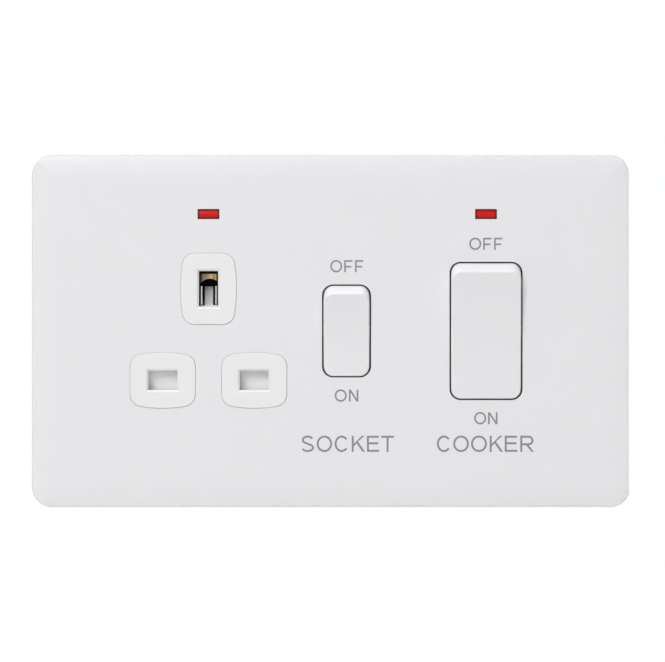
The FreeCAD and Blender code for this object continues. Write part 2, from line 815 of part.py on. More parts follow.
def make_arm(name, rocker, pole):
    body = new_body(name)
    half, wide = rocker.arm_half, d.arm_wide / 2
    lift = d.arm_thick / 2
    side_view = [
        (0, -half),
        (0, half),
        (-lift, half),
        (-d.arm_thick, half - d.tip_inset - d.tip_radius),
        (-d.arm_thick, -half + d.tip_inset + d.tip_radius),
        (-lift, -half),
    ]
    pad(body, "bar", "x", (-wide, wide), side_view)
    guard = d.plunger_radius + d.plunger_clearance + d.arm_clearance
    cradle = rectangle(-d.arm_thick - d.arm_thick, -d.arm_thick / 2, -guard * 2, guard * 2)
    pad(body, "left_guard", "x", (-wide, -guard), cradle)
    pad(body, "right_guard", "x", (guard, wide), cradle)
    pocket(body, "knife_notch", "x", (-wide, wide), circle(0, 0, d.knife_radius + d.knife_clearance))
    arm_place(body, pole)
    return body


def make_arm_tip(name, rocker, pole):
    body = new_body(name)
    disc = circle(0, arm_tip_up(rocker), d.tip_radius)
    button = pad(body, "button", "y", (as_size(0), d.tip_thick), disc)
    dress(body, "Fillet", "rim", button, lambda edge: lies_at(edge, "Y", d.tip_thick), d.tip_thick / 3)
    arm_place(body, pole)
    return body


def fixed_tip_up(rocker):
    return arm_tip_up(rocker) * cosine(d.rocker_tilt)


def fixed_tip_y(rocker):
    return arm_y + d.tip_thick + arm_tip_up(rocker) * sine(d.rocker_tilt) + d.contact_gap


def make_fixed_tips():
    tips = []
    for name, rocker in ROCKERS.items():
        for index, pole in enumerate(rocker.poles, start=1):
            body = new_body(f"{name}_fixed_tip_{index}")
            front = fixed_tip_y(rocker)
            disc = circle(pole, fixed_tip_up(rocker), d.tip_radius)
            button = pad(body, "button", "y", (front, strip_y), disc)
            dress(body, "Fillet", "rim", button, lambda edge: lies_at(edge, "Y", front), d.tip_thick / 3)
            tips.append(body)
    return group("fixed_contact_tips", tips)


def group(name, pieces):
    compound = doc.addObject("Part::Compound", name)
    compound.Label = name
    compound.Links = pieces
    return compound


# Flat metal parts behind the arms

def foot_levels(side):
    # the foot lies on the terminal block; the step joins it to the strip clear of the block
    inner = block_inner_up - d.moulding_gap - d.strip_thick
    outer = housing_inside_up - d.moulding_gap
    step = inner + d.strip_thick
    return ((inner, outer), (inner, step)) if side > 0 else ((-outer, -inner), (-step, -inner))


def add_foot(body, pole, terminal, side):
    foot, step = foot_levels(side)
    wide = d.arm_wide / 2
    pad(body, "step", "x", (pole - wide, pole + wide), rectangle(foot_y, strip_back_y, *step))
    left, right = terminal - d.foot_half_wide, pole + wide
    if terminal.value > pole.value:
        left, right = pole - wide, terminal + d.foot_half_wide
    pad(body, "foot", "y", (foot_y, block_y), rectangle(left, right, *foot))


def make_fulcrum(name, pole, terminal=None):
    # knife edge on a stem, and a strip that runs down to the busbar or the supply terminal
    body = new_body(name)
    wide, knife = d.arm_wide / 2, d.knife_radius
    stem = knife * 0.7
    low = busbar_low if terminal is None else foot_levels(-1)[1][0]
    side_view = [
        (strip_back_y, low),
        (strip_back_y, 2 * knife),
        (strip_y, 2 * knife),
        (strip_y, stem),
        (arm_y, stem),
        (arm_y, -stem),
        (strip_y, -stem),
        (strip_y, low),
    ]
    pad(body, "strip", "x", (pole - wide, pole + wide), side_view)
    pad(body, "knife", "x", (pole - wide, pole + wide), circle(arm_y, 0, knife))
    if terminal is not None:
        add_foot(body, pole, terminal, -1)
    return body


def make_fixed_contact(name, pole, terminal):
    body = new_body(name)
    wide = d.arm_wide / 2
    low = fixed_tip_up(ROCKERS["cooker"]) - d.tip_radius - d.leaf_thick
    strip = rectangle(strip_y, strip_back_y, low, foot_levels(1)[1][1])
    pad(body, "strip", "x", (pole - wide, pole + wide), strip)
    add_foot(body, pole, terminal, 1)
    return body


link_middle = fixed_tip_up(ROCKERS["socket"])
link_low, link_high = link_middle - d.tip_radius - d.leaf_thick, link_middle + d.tip_radius + d.leaf_thick


def make_live_link():
    body = new_body("socket_live_link")
    wide = d.arm_wide / 2
    left, inner = live_across - wide, live_across + wide
    right, bottom = d.socket_switch_across + wide, d.pin_row_up - wide
    corners = [
        (left, bottom),
        (inner, bottom),
        (inner, link_low),
        (right, link_low),
        (right, link_high),
        (left, link_high),
    ]
    pad(body, "strip", "y", (strip_y, strip_back_y), corners)
    return body


def make_live_busbar():
    body = new_body("live_busbar")
    wide = d.arm_wide / 2
    bar = rectangle(d.socket_switch_across - wide, live_pole + wide, strip_back_y, busbar_back_y)
    pad(body, "bar", "z", (busbar_low, busbar_high), bar)
    return body


def make_neutral_busbar():
    # passes behind the live bar and steps forward at both ends
    body = new_body("neutral_busbar")
    wide = d.arm_wide / 2
    right, right_inner = neutral_pole + wide, neutral_pole - wide
    left, left_inner = neutral_across - wide, neutral_across + wide
    right_run = right_inner - (crossing_y - strip_back_y)
    left_run = left_inner + (crossing_y - strip_y)
    corners = [
        (left, strip_y),
        (left_inner, strip_y),
        (left_run, crossing_y),
        (right_run, crossing_y),
        (right_inner, strip_back_y),
        (right, strip_back_y),
        (right, busbar_back_y),
        (right_inner, busbar_back_y),
        (right_run, crossing_back_y),
        (left_run, crossing_back_y),
        (left_inner, strip_back_y),
        (left, strip_back_y),
    ]
    pad(body, "bar", "z", (busbar_low, busbar_high), corners)
    return body


def clip_profile(mouth_y, back_y, flare):
    # U-shaped spring clip with rounded noses: mouth, pinch and spread on each side of the pin,
    # as depth and distance sideways
    nose = (d.leaf_nose, -1)
    nose_y = mouth_y + d.leaf_thick - d.leaf_nose
    pinch_y, spread_y = mouth_y + d.leaf_run, mouth_y + 2 * d.leaf_run
    inner = [
        (nose_y, d.pin_half_wide + flare),
        (pinch_y, d.pin_half_wide - d.leaf_pinch),
        (spread_y, d.pin_half_wide + d.leaf_spread),
        (back_y - d.leaf_thick, d.pin_half_wide + d.leaf_spread),
    ]
    outer = [(depth, side + d.leaf_thick) for depth, side in inner[:3]]
    outer.append((back_y, d.pin_half_wide + d.leaf_spread + d.leaf_thick))
    upper = list(reversed(inner)) + [outer[0] + nose] + outer[1:]
    lower = [(depth, -side) for depth, side in reversed(outer)]
    lower += [(inner[0][0], -inner[0][1]) + nose] + [(depth, -side) for depth, side in inner[1:]]
    return upper + lower


def shifted(corners, up):
    return [(corner[0], corner[1] + up) + tuple(corner[2:]) for corner in corners]


def make_pin_contact(name, across):
    body = new_body(name)
    profile = shifted(clip_profile(as_size(0), strip_y, d.leaf_flare), d.pin_row_up)
    pad(body, "clip", "x", (across - d.leaf_wide / 2, across + d.leaf_wide / 2), profile)
    return body


def make_earth_contact():
    body = new_body("earth_contact")
    mouth_y = deck_back_y + d.moulding_gap
    profile = swapped(shifted(clip_profile(mouth_y, strip_back_y, -d.earth_leaf_inset), d.socket_across))
    low, high = earth_up - d.earth_leaf_high / 2, earth_up + d.earth_leaf_high / 2
    pad(body, "clip", "z", (low, high), profile)
    # short fingers in front, and an arched relief low in the web
    reach = d.pin_half_wide + d.leaf_spread + 2 * d.leaf_thick
    left, right = d.socket_across - reach, d.socket_across + reach
    finger_top = low + d.finger_high
    front = (mouth_y - d.over_cut, mouth_y + d.finger_long)
    pocket(body, "finger_relief", "y", front, rectangle(left, right, finger_top, high + d.over_cut))
    rise = root(d.web_arch_radius * d.web_arch_radius - d.web_arch_half * d.web_arch_half)
    spring_up = d.web_arch_top - d.web_arch_radius + rise
    arch_left, arch_right = d.socket_across - d.web_arch_half, d.socket_across + d.web_arch_half
    arch = [
        (arch_left, low + d.strip_thick),
        (arch_right, low + d.strip_thick),
        (arch_right, spring_up),
        (arch_left, spring_up, d.web_arch_radius, 1),
    ]
    pocket(body, "web_arch", "y", (strip_back_y - 2 * d.leaf_thick, strip_back_y), arch)
    return body


def make_earth_strap():
    # from the earth contact to both earth terminals, with a tab that touches the steel frame
    body = new_body("earth_strap")
    wide = d.arm_wide / 2
    left, right = d.socket_across - wide, d.socket_across + wide
    foot, step = foot_levels(1)
    leg = rectangle(left, right, d.web_arch_top, step[1])
    pad(body, "leg", "y", (strip_back_y, busbar_back_y), leg)
    pad(body, "step", "x", (left, right), rectangle(foot_y, busbar_back_y, *step))
    ends = (earth_terminals[0] - d.foot_half_wide, earth_terminals[1] + d.foot_half_wide)
    pad(body, "foot", "y", (foot_y, block_y), rectangle(*ends, *foot))
    tab = rectangle(left, right, as_size(0), foot_y)
    pad(body, "frame_tab", "z", (foot[1] - d.strip_thick, foot[1]), tab)
    return body


# Shutter: a ramp under the earth way and two plates behind the live and neutral ways

shutter_y = deck_back_y + d.shutter_clearance
shutter_back_y = shutter_y + d.shutter_thick
plate_low = d.pin_row_up - d.shutter_plate_high / 2
plate_high = d.pin_row_up + d.shutter_plate_high / 2
return_spring_y = (deck_back_y + frame_y) / 2
return_seat_up = -moulding_half_high + d.rim_thick


def make_shutter():
    body = new_body("shutter")
    span = (shutter_y, shutter_back_y)
    half_plate = d.shutter_plate_wide / 2
    plates = rectangle(neutral_across - half_plate, live_across + half_plate, plate_low, plate_high)
    pad(body, "plates", "y", span, plates)
    ramp_high = d.shutter_travel + d.tongue_overlap
    ramp_low = d.tongue_top - ramp_high
    half_stem = d.shutter_stem_wide / 2
    left, right = d.socket_across - half_stem, d.socket_across + half_stem
    stem = rectangle(left, right, plate_high, ramp_low + d.stem_rise)
    pad(body, "stem", "y", span, stem)
    root_low = ramp_low - d.shutter_thick
    crest_y = shutter_y + ramp_high
    ramp = [
        (shutter_y, ramp_low),
        (shutter_y, root_low),
        (crest_y + d.strip_thick, root_low),
        (crest_y + d.strip_thick, d.tongue_top),
        (crest_y, d.tongue_top),
    ]
    half_tongue = d.tongue_wide / 2
    pad(body, "tongue", "x", (d.socket_across - half_tongue, d.socket_across + half_tongue), ramp)
    peg = circle(d.socket_across, return_spring_y, d.return_coil - d.return_wire)
    pad(body, "spring_peg", "z", (plate_low - d.strip_thick, plate_low), peg)
    return body


def make_shutter_spring():
    body = new_body("shutter_spring")
    half_wire = d.return_wire / 2
    coil(body, d.return_coil, d.return_wire, plate_low - return_seat_up - d.return_wire, 6)
    place(body, d.socket_across, return_spring_y, return_seat_up + half_wire)
    return body


# Rear housing

terminal_places = {
    "supply_live_terminal": (live_terminal, -1),
    "supply_neutral_terminal": (neutral_terminal, -1),
    "load_live_terminal": (live_terminal, 1),
    "load_neutral_terminal": (neutral_terminal, 1),
    "supply_earth_terminal": (earth_terminals[0], 1),
    "load_earth_terminal": (earth_terminals[1], 1),
}


def make_rear_housing():
    body = new_body("rear_housing")
    half_high = housing_half_high
    outside = rounded(housing_left, housing_right, -half_high, half_high, d.housing_corner)
    block = pad(body, "tub", "y", (as_size(0), housing_back_y), outside)

    def is_back_edge(edge):
        return lies_at(edge, "Y", housing_back_y)

    dress(body, "Fillet", "back_edges", block, is_back_edge, d.housing_edge)
    inside = rounded(housing_left + d.housing_wall, housing_right - d.housing_wall,
                     -housing_inside_up, housing_inside_up, d.housing_corner - d.housing_wall)
    pocket(body, "inside", "y", (as_size(0), housing_inside_y), inside)

    # pillars behind the strips
    half = d.arm_wide / 2 - d.leaf_thick
    beside_bars = (busbar_high + d.rib_thick, 2 * d.knife_radius)
    pillars = []

    def add_pillar(across, low, high):
        pillars.append(rectangle(across - half, across + half, low, high))

    for rocker in ROCKERS.values():
        for pole in rocker.poles:
            add_pillar(pole, *beside_bars)
            tip_at = fixed_tip_up(rocker)
            add_pillar(pole, tip_at - half, tip_at + half)
    add_pillar(live_across, *beside_bars)
    add_pillar(neutral_across, busbar_low, busbar_high)
    pad(body, "pillars", "y", (strip_back_y, housing_inside_y), *pillars)
    left, right = d.socket_across - half, d.socket_across + half
    earth_pillar = rectangle(left, right, d.web_arch_top, d.web_arch_top + 2 * half)
    pad(body, "earth_pillar", "y", (busbar_back_y, housing_inside_y), earth_pillar)

    # partitions with gaps for the bars, and the shutter's guide ribs
    gap, half_rib = d.moulding_gap, d.rib_thick / 2
    below, above = (-housing_inside_up, busbar_low - gap), (busbar_high + gap, housing_inside_up)
    split = d.moulding_split
    walls = [rectangle(split - half_rib, split + half_rib, *below)]
    walls.append(rectangle(split - half_rib, split + half_rib, busbar_high + gap, link_low - gap))
    walls.append(rectangle(split - half_rib, split + half_rib, link_high + gap, housing_inside_up))
    between = (d.socket_switch_across + d.cooker_switch_across) / 2 - d.rib_thick
    walls += [rectangle(between - half_rib, between + half_rib, *span) for span in (below, above)]
    pad(body, "partitions", "y", (d.rib_thick, housing_inside_y), *walls)
    middle = d.cooker_switch_across
    barriers = [rectangle(middle - half_rib, middle + half_rib, *span) for span in (below, above)]
    pad(body, "pole_barriers", "y", (foot_y, housing_inside_y), *barriers)
    guide_back = shutter_back_y + d.shutter_clearance
    guide_low = -d.window_high / 2 + d.rib_thick
    for name, sign in (("left", -1), ("right", 1)):
        at = d.socket_across + sign * d.guide_half_pitch
        runs = [(guide_low, busbar_low - gap), (busbar_high + gap, d.rib_thick * 3)]
        ribs = [rectangle(at - half_rib, at + half_rib, *run) for run in runs]
        pad(body, f"{name}_guides", "y", (guide_back, housing_inside_y), *ribs)

    pad(body, "screw_bosses", "y", (as_size(0), housing_inside_y), *screw_circles(d.housing_boss))
    behind = housing_back_y + d.over_cut
    bored = d.screw_radius + d.screw_clearance
    pocket(body, "screw_holes", "y", (as_size(0), behind), *screw_circles(bored))
    pocket(body, "head_recesses", "y", (housing_inside_y, behind),
           *screw_circles(d.screw_head_radius + d.screw_clearance))

    # screwdriver holes and open notches for the cables
    access = [circle(x, side * terminal_up, d.clamp_head_radius + d.access_clearance)
              for x, side in terminal_places.values()]
    pocket(body, "access_holes", "y", (housing_inside_y, behind), *access)
    half_notch = d.cable_radius + d.notch_clearance
    for side, span in ((1, (housing_inside_up, half_high + d.over_cut)),
                       (-1, (-half_high - d.over_cut, -housing_inside_up))):
        notches = [rectangle(x - half_notch, x + half_notch, cable_y - half_notch, behind)
                   for x, terminal_side in terminal_places.values() if terminal_side == side]
        pocket(body, "upper_notches" if side > 0 else "lower_notches", "z", span, *notches)
    return body


def make_terminal(name, across, side):
    body = new_body(name)
    low, high = (block_inner_up, housing_inside_up) if side > 0 else (-housing_inside_up, -block_inner_up)
    half = d.block_wide / 2
    pad(body, "block", "y", (block_y, housing_inside_y), rectangle(across - half, across + half, low, high))
    pocket(body, "cable_hole", "z", (low, high), circle(across, cable_y, d.cable_radius))
    clamp = circle(across, side * terminal_up, d.clamp_radius)
    pocket(body, "clamp_hole", "y", (cable_y, housing_inside_y), clamp)
    return body


def make_clamp_screws():
    screws = []
    head_back_y = housing_inside_y + d.housing_wall * 0.9
    for name, (across, side) in terminal_places.items():
        up = side * terminal_up
        body = new_body(name.replace("terminal", "clamp_screw"))
        shank = circle(across, up, d.clamp_radius - d.trunnion_clearance)
        pad(body, "shank", "y", (cable_y + d.cable_radius + d.clamp_retract, housing_inside_y), shank)
        pad(body, "head", "y", (housing_inside_y, head_back_y), circle(across, up, d.clamp_head_radius))
        half_slot, reach = d.strip_thick / 3, d.clamp_head_radius * 2
        slot = rectangle(across - reach, across + reach, up - half_slot, up + half_slot)
        pocket(body, "slot", "y", (head_back_y - d.housing_wall / 2, head_back_y), slot)
        screws.append(body)
    return group("clamp_screws", screws)


def make_housing_screws():
    screws = []
    head_back_y = housing_inside_y + d.screw_head_high
    for index, ring in enumerate(screw_circles(d.screw_radius - d.trunnion_clearance), start=1):
        across, up, _ = ring["circle"]
        body = new_body(f"housing_screw_{index}")
        pad(body, "shank", "y", (deck_back_y - d.screw_clearance, housing_inside_y), ring)
        pad(body, "head", "y", (housing_inside_y, head_back_y), circle(across, up, d.screw_head_radius))
        long, narrow = d.screw_head_radius * 0.6, d.screw_head_radius * 0.15
        cross = [(across + side * x, up + level * z) for side, level, x, z in cross_corners(long, narrow)]
        pocket(body, "recess", "y", (head_back_y - d.screw_head_high * 0.6, head_back_y), cross)
        screws.append(body)
    return group("housing_screws", screws)


def cross_corners(long, narrow):
    # the twelve corners of a cross recess, as sign, sign, across, up
    quarter = [(long, narrow), (narrow, narrow), (narrow, long)]
    corners = []
    for sign_x, sign_z, order in ((1, 1, 1), (-1, 1, -1), (-1, -1, 1), (1, -1, -1)):
        corners += [(sign_x, sign_z, x, z) for x, z in quarter[::order]]
    return corners


# Neon indicators

def make_neon_lens(name, across):
    body = new_body(name)
    front = face_y + d.neon_recess
    half_wide, half_high = d.neon_wide / 2 - d.neon_clearance, d.neon_high / 2 - d.neon_clearance
    up = d.neon_up
    window = rectangle(across - half_wide, across + half_wide, up - half_high, up + half_high)
    pad(body, "window", "y", (front, inner_face_y), window)
    rim_wide, rim_high = half_wide + d.neon_flange_rim, half_high + d.neon_flange_rim
    rim = rectangle(across - rim_wide, across + rim_wide, up - rim_high, up + rim_high)
    pad(body, "flange", "y", (inner_face_y, neon_tab_y), rim)
    # the face is a low ridge along the middle
    over_y, low_y = front - d.over_cut, front + d.neon_recess
    facets = [
        [(front, up), (low_y, edge_up), (over_y, edge_up), (over_y, up)]
        for edge_up in (up + half_high, up - half_high)
    ]
    pocket(body, "facets", "x", (across - half_wide, across + half_wide), *facets)
    return body


lamp_y = bed_back_y - d.lamp_radius
lamp_end = d.lead_radius * 2


def make_lamp(name, across):
    body = new_body(name)
    right = across + lamp_end
    glass = pad(body, "glass", "x", (right - d.lamp_long, right), circle(lamp_y, d.neon_up, d.lamp_radius))
    dress(body, "Fillet", "ends", glass, lambda edge: edge.BoundBox.XLength < 1e-6, d.lamp_radius * 0.6)
    return body


def make_resistor(name, across):
    body = new_body(name)
    left = across + lamp_end + d.strip_thick / 2
    film = pad(body, "film", "x", (left, left + d.resistor_long),
               circle(bed_back_y - d.resistor_radius, d.neon_up, d.resistor_radius))
    dress(body, "Fillet", "ends", film, lambda edge: edge.BoundBox.XLength < 1e-6, d.resistor_radius * 0.4)
    return body


def make_nodes():
    nodes = [make_front_cover(), make_mounting_frame(), make_socket_face(), make_switch_carrier()]
    nodes.append(make_rear_housing())
    for name, rocker in ROCKERS.items():
        nodes.append(make_rocker(name, rocker))
        pole_names = [name] if len(rocker.poles) == 1 else [f"{name}_live", f"{name}_neutral"]
        for pole_name, pole in zip(pole_names, rocker.poles):
            nodes.append(make_plunger(f"{pole_name}_plunger", rocker, pole))
            nodes.append(make_plunger_spring(f"{pole_name}_plunger_spring", rocker, pole))
            nodes.append(make_arm(f"{pole_name}_contact_arm", rocker, pole))
            nodes.append(make_arm_tip(f"{pole_name}_arm_tip", rocker, pole))
    nodes.append(make_fulcrum("socket_fulcrum", d.socket_switch_across))
    nodes.append(make_fulcrum("cooker_live_fulcrum", live_pole, live_terminal))
    nodes.append(make_fulcrum("cooker_neutral_fulcrum", neutral_pole, neutral_terminal))
    nodes.append(make_fixed_contact("cooker_live_fixed_contact", live_pole, live_terminal))
    nodes.append(make_fixed_contact("cooker_neutral_fixed_contact", neutral_pole, neutral_terminal))
    nodes.append(make_fixed_tips())
    nodes += [make_live_link(), make_live_busbar(), make_neutral_busbar()]
    nodes.append(make_pin_contact("live_pin_contact", live_across))
    nodes.append(make_pin_contact("neutral_pin_contact", neutral_across))
    nodes += [make_earth_contact(), make_earth_strap(), make_shutter(), make_shutter_spring()]
    nodes += [make_terminal(name, across, side) for name, (across, side) in terminal_places.items()]
    nodes += [make_clamp_screws(), make_housing_screws()]
    for name, across in zip(("socket", "cooker"), neon_places):
        nodes.append(make_neon_lens(f"{name}_neon_lens", across))
        nodes.append(make_lamp(f"{name}_neon_lamp", across))
        nodes.append(make_resistor(f"{name}_neon_resistor", across))
    return nodes


def check(nodes):
    for thing in doc.Objects:
        if any(word in ("Invalid", "Error") for word in thing.State):
            raise RuntimeError(f"{thing.Name} failed: {thing.State}")
        if thing.TypeId == "PartDesign::Pocket":
            removed = thing.BaseFeature.Shape.Volume - thing.Shape.Volume
            if removed < 1e-3:
                raise RuntimeError(f"{thing.Name} cuts nothing")
    for node in nodes:
        if node.Shape.isNull() or not node.Shape.isValid():
            raise RuntimeError(f"{node.Label} has no valid shape")


def main():
    nodes = make_nodes()
    doc.recompute()
    check(nodes)
    os.makedirs("parts", exist_ok=True)
    for node in nodes:
        node.Shape.exportStep(f"parts/{node.Label}.step")
        print(f"{node.Label}: {len(node.Shape.Solids)} solid, {node.Shape.Volume:.1f} mm3")


main()
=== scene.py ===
import bpy
from math import cos, pi, sin
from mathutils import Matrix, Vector


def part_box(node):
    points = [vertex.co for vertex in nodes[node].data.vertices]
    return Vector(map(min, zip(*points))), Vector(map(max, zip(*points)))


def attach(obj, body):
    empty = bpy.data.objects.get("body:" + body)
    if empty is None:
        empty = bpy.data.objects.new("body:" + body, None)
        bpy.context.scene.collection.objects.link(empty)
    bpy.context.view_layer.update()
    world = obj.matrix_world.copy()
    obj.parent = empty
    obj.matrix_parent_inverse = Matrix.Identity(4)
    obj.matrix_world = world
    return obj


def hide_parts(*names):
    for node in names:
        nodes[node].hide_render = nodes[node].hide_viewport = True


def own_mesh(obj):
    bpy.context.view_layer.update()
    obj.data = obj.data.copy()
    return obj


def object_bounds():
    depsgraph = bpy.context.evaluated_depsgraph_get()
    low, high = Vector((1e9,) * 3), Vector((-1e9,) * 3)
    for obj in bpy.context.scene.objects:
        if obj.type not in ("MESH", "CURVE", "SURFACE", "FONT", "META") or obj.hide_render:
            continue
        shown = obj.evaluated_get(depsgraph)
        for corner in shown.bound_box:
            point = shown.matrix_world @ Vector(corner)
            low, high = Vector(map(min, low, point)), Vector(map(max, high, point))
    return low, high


mm = 0.001
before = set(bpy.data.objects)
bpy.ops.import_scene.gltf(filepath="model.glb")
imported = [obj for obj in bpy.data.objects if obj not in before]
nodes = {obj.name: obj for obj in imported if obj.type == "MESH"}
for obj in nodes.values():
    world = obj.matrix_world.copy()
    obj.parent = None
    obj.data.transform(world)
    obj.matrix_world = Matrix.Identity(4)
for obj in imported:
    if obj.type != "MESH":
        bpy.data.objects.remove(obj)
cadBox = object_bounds()
print("frame loaded:", len(nodes), "solids")


# colours and nodes

def linearColour(hexCode):
    channels = [int(hexCode[i:i + 2], 16) / 255 for i in (1, 3, 5)]
    return [c / 12.92 if c <= 0.04045 else ((c + 0.055) / 1.055) ** 2.4 for c in channels] + [1.0]


def addNode(tree, kind, inputs, **settings):
    node = tree.nodes.new(kind)
    for name, value in settings.items():
        setattr(node, name, value)
    for name, value in inputs.items():
        if isinstance(value, bpy.types.NodeSocket):
            tree.links.new(value, node.inputs[name])
        else:
            node.inputs[name].default_value = value
    return node


def newFinish(name, colour, roughness, **sockets):
    material = bpy.data.materials.new(name)
    material.use_nodes = True
    tree = material.node_tree
    shader = tree.nodes["Principled BSDF"]
    shader.inputs["Base Color"].default_value = linearColour(colour)
    shader.inputs["Roughness"].default_value = roughness
    for socket, value in sockets.items():
        shader.inputs[socket.replace("_", " ")].default_value = value
    place = addNode(tree, "ShaderNodeTexCoord", {})
    return material, tree, shader, place.outputs["Object"]


def perMetre(sizeInMm):
    return 1 / (sizeInMm * mm)  # noise and wave cells per metre


def surfaceBump(tree, shader, height, distance, strength):
    # distance in mm
    bump = addNode(tree, "ShaderNodeBump", {"Height": height, "Distance": distance * mm, "Strength": strength})
    tree.links.new(bump.outputs["Normal"], shader.inputs["Normal"])


noiseSpan = (0.3, 0.7)  # most of a noise lies between these


def mottled(tree, place, socket, size, low, high, detail=3.0):
    # noise of one grain size in mm, turned into a range of roughness
    noise = addNode(tree, "ShaderNodeTexNoise", {"Vector": place, "Scale": perMetre(size), "Detail": detail})
    spread = addNode(tree, "ShaderNodeMapRange",
                     {"Value": noise.outputs["Fac"], "From Min": noiseSpan[0], "From Max": noiseSpan[1],
                      "To Min": low, "To Max": high})
    tree.links.new(spread.outputs["Result"], socket)
    return noise


def tinted(tree, shader, noise, colourA, colourB):
    mix = addNode(tree, "ShaderNodeMix", {"Factor": noise.outputs["Fac"]}, data_type="RGBA")
    mix.inputs[6].default_value = linearColour(colourA)
    mix.inputs[7].default_value = linearColour(colourB)
    tree.links.new(mix.outputs[2], shader.inputs["Base Color"])


# finishes

def glossUrea(name, colour, roughness):
    # urea formaldehyde, moulded in a polished tool: near-white, hard gloss, a trace of orange peel
    material, tree, shader, place = newFinish(name, colour, roughness, IOR=1.54)
    peel = mottled(tree, place, shader.inputs["Roughness"], size=7.0, low=roughness - 0.015,
                   high=roughness + 0.02, detail=1.0)
    surfaceBump(tree, shader, peel.outputs["Fac"], distance=0.002, strength=0.25)
    return material


def satinNylon(name, colour, roughness):
    # nylon 66 moulding: satin, with the fine grain of a spark-eroded tool
    material, tree, shader, place = newFinish(name, colour, roughness, IOR=1.53)
    grain = mottled(tree, place, shader.inputs["Roughness"], size=0.5, low=roughness - 0.05, high=roughness + 0.07)
    surfaceBump(tree, shader, grain.outputs["Fac"], distance=0.01, strength=0.4)
    return material


def mattThermoset():
    # mineral-filled phenolic housing: matt near-black, with faint brown flow clouds and a fine filler grain
    material, tree, shader, place = newFinish("matt mineral filled phenolic housing", "#262523", roughness=0.6,
                                              IOR=1.6)
    clouds = addNode(tree, "ShaderNodeTexNoise", {"Vector": place, "Scale": perMetre(14), "Detail": 4.0})
    tinted(tree, shader, clouds, "#1f1f1e", "#302e2b")
    grain = mottled(tree, place, shader.inputs["Roughness"], size=0.4, low=0.5, high=0.68)
    surfaceBump(tree, shader, grain.outputs["Fac"], distance=0.03, strength=0.7)
    return material


def brightZinc():
    # electroplated zinc on pressed steel: mid grey metal with a milky, faintly blue mottle
    material, tree, shader, place = newFinish("bright zinc plated steel", "#bcbfc4", roughness=0.34, Metallic=1.0)
    clouds = mottled(tree, place, shader.inputs["Roughness"], size=3.0, low=0.3, high=0.42, detail=5.0)
    tinted(tree, shader, clouds, "#b4b8bf", "#c9cbcd")
    grain = addNode(tree, "ShaderNodeTexNoise", {"Vector": place, "Scale": perMetre(0.25), "Detail": 2.0})
    surfaceBump(tree, shader, grain.outputs["Fac"], distance=0.006, strength=0.5)
    return material


def rolledStrip(name, colourA, colourB, roughness):
    # cold-rolled strip: fine parallel rolling lines and a slow drift in tarnish
    material, tree, shader, place = newFinish(name, colourA, roughness, Metallic=1.0)
    tarnish = addNode(tree, "ShaderNodeTexNoise", {"Vector": place, "Scale": perMetre(6), "Detail": 4.0})
    tinted(tree, shader, tarnish, colourA, colourB)
    stretch = addNode(tree, "ShaderNodeMapping", {"Vector": place, "Scale": (1.0, 1.0, 14.0)})
    lines = mottled(tree, stretch.outputs["Vector"], shader.inputs["Roughness"], size=1.6, low=roughness - 0.06,
                    high=roughness + 0.1, detail=6.0)
    surfaceBump(tree, shader, lines.outputs["Fac"], distance=0.004, strength=0.6)
    return material


pinContact = {
    "webMiddle": -30.03, "webHalf": 1.72,  # the part of the web that shows in the earth way; beside it the colour is painted shade
    "bareFrom": -30.6,  # pins have rubbed the brass bare to the right of this
    "fade": 0.12,
    "shadeBelowHeight": (9, 11),  # below this the contact is painted dark, as painted shade
    "mouthDepth": (4, 7),  # in front of this it is still tinned
    # the dark colour is painted shade, not a colour of the brass
    "tin": "#e9e6e0", "wornTin": "#aea28a", "brass": "#e0cdb0", "streak": "#cf9260", "dark": "#4a3c2e",
}


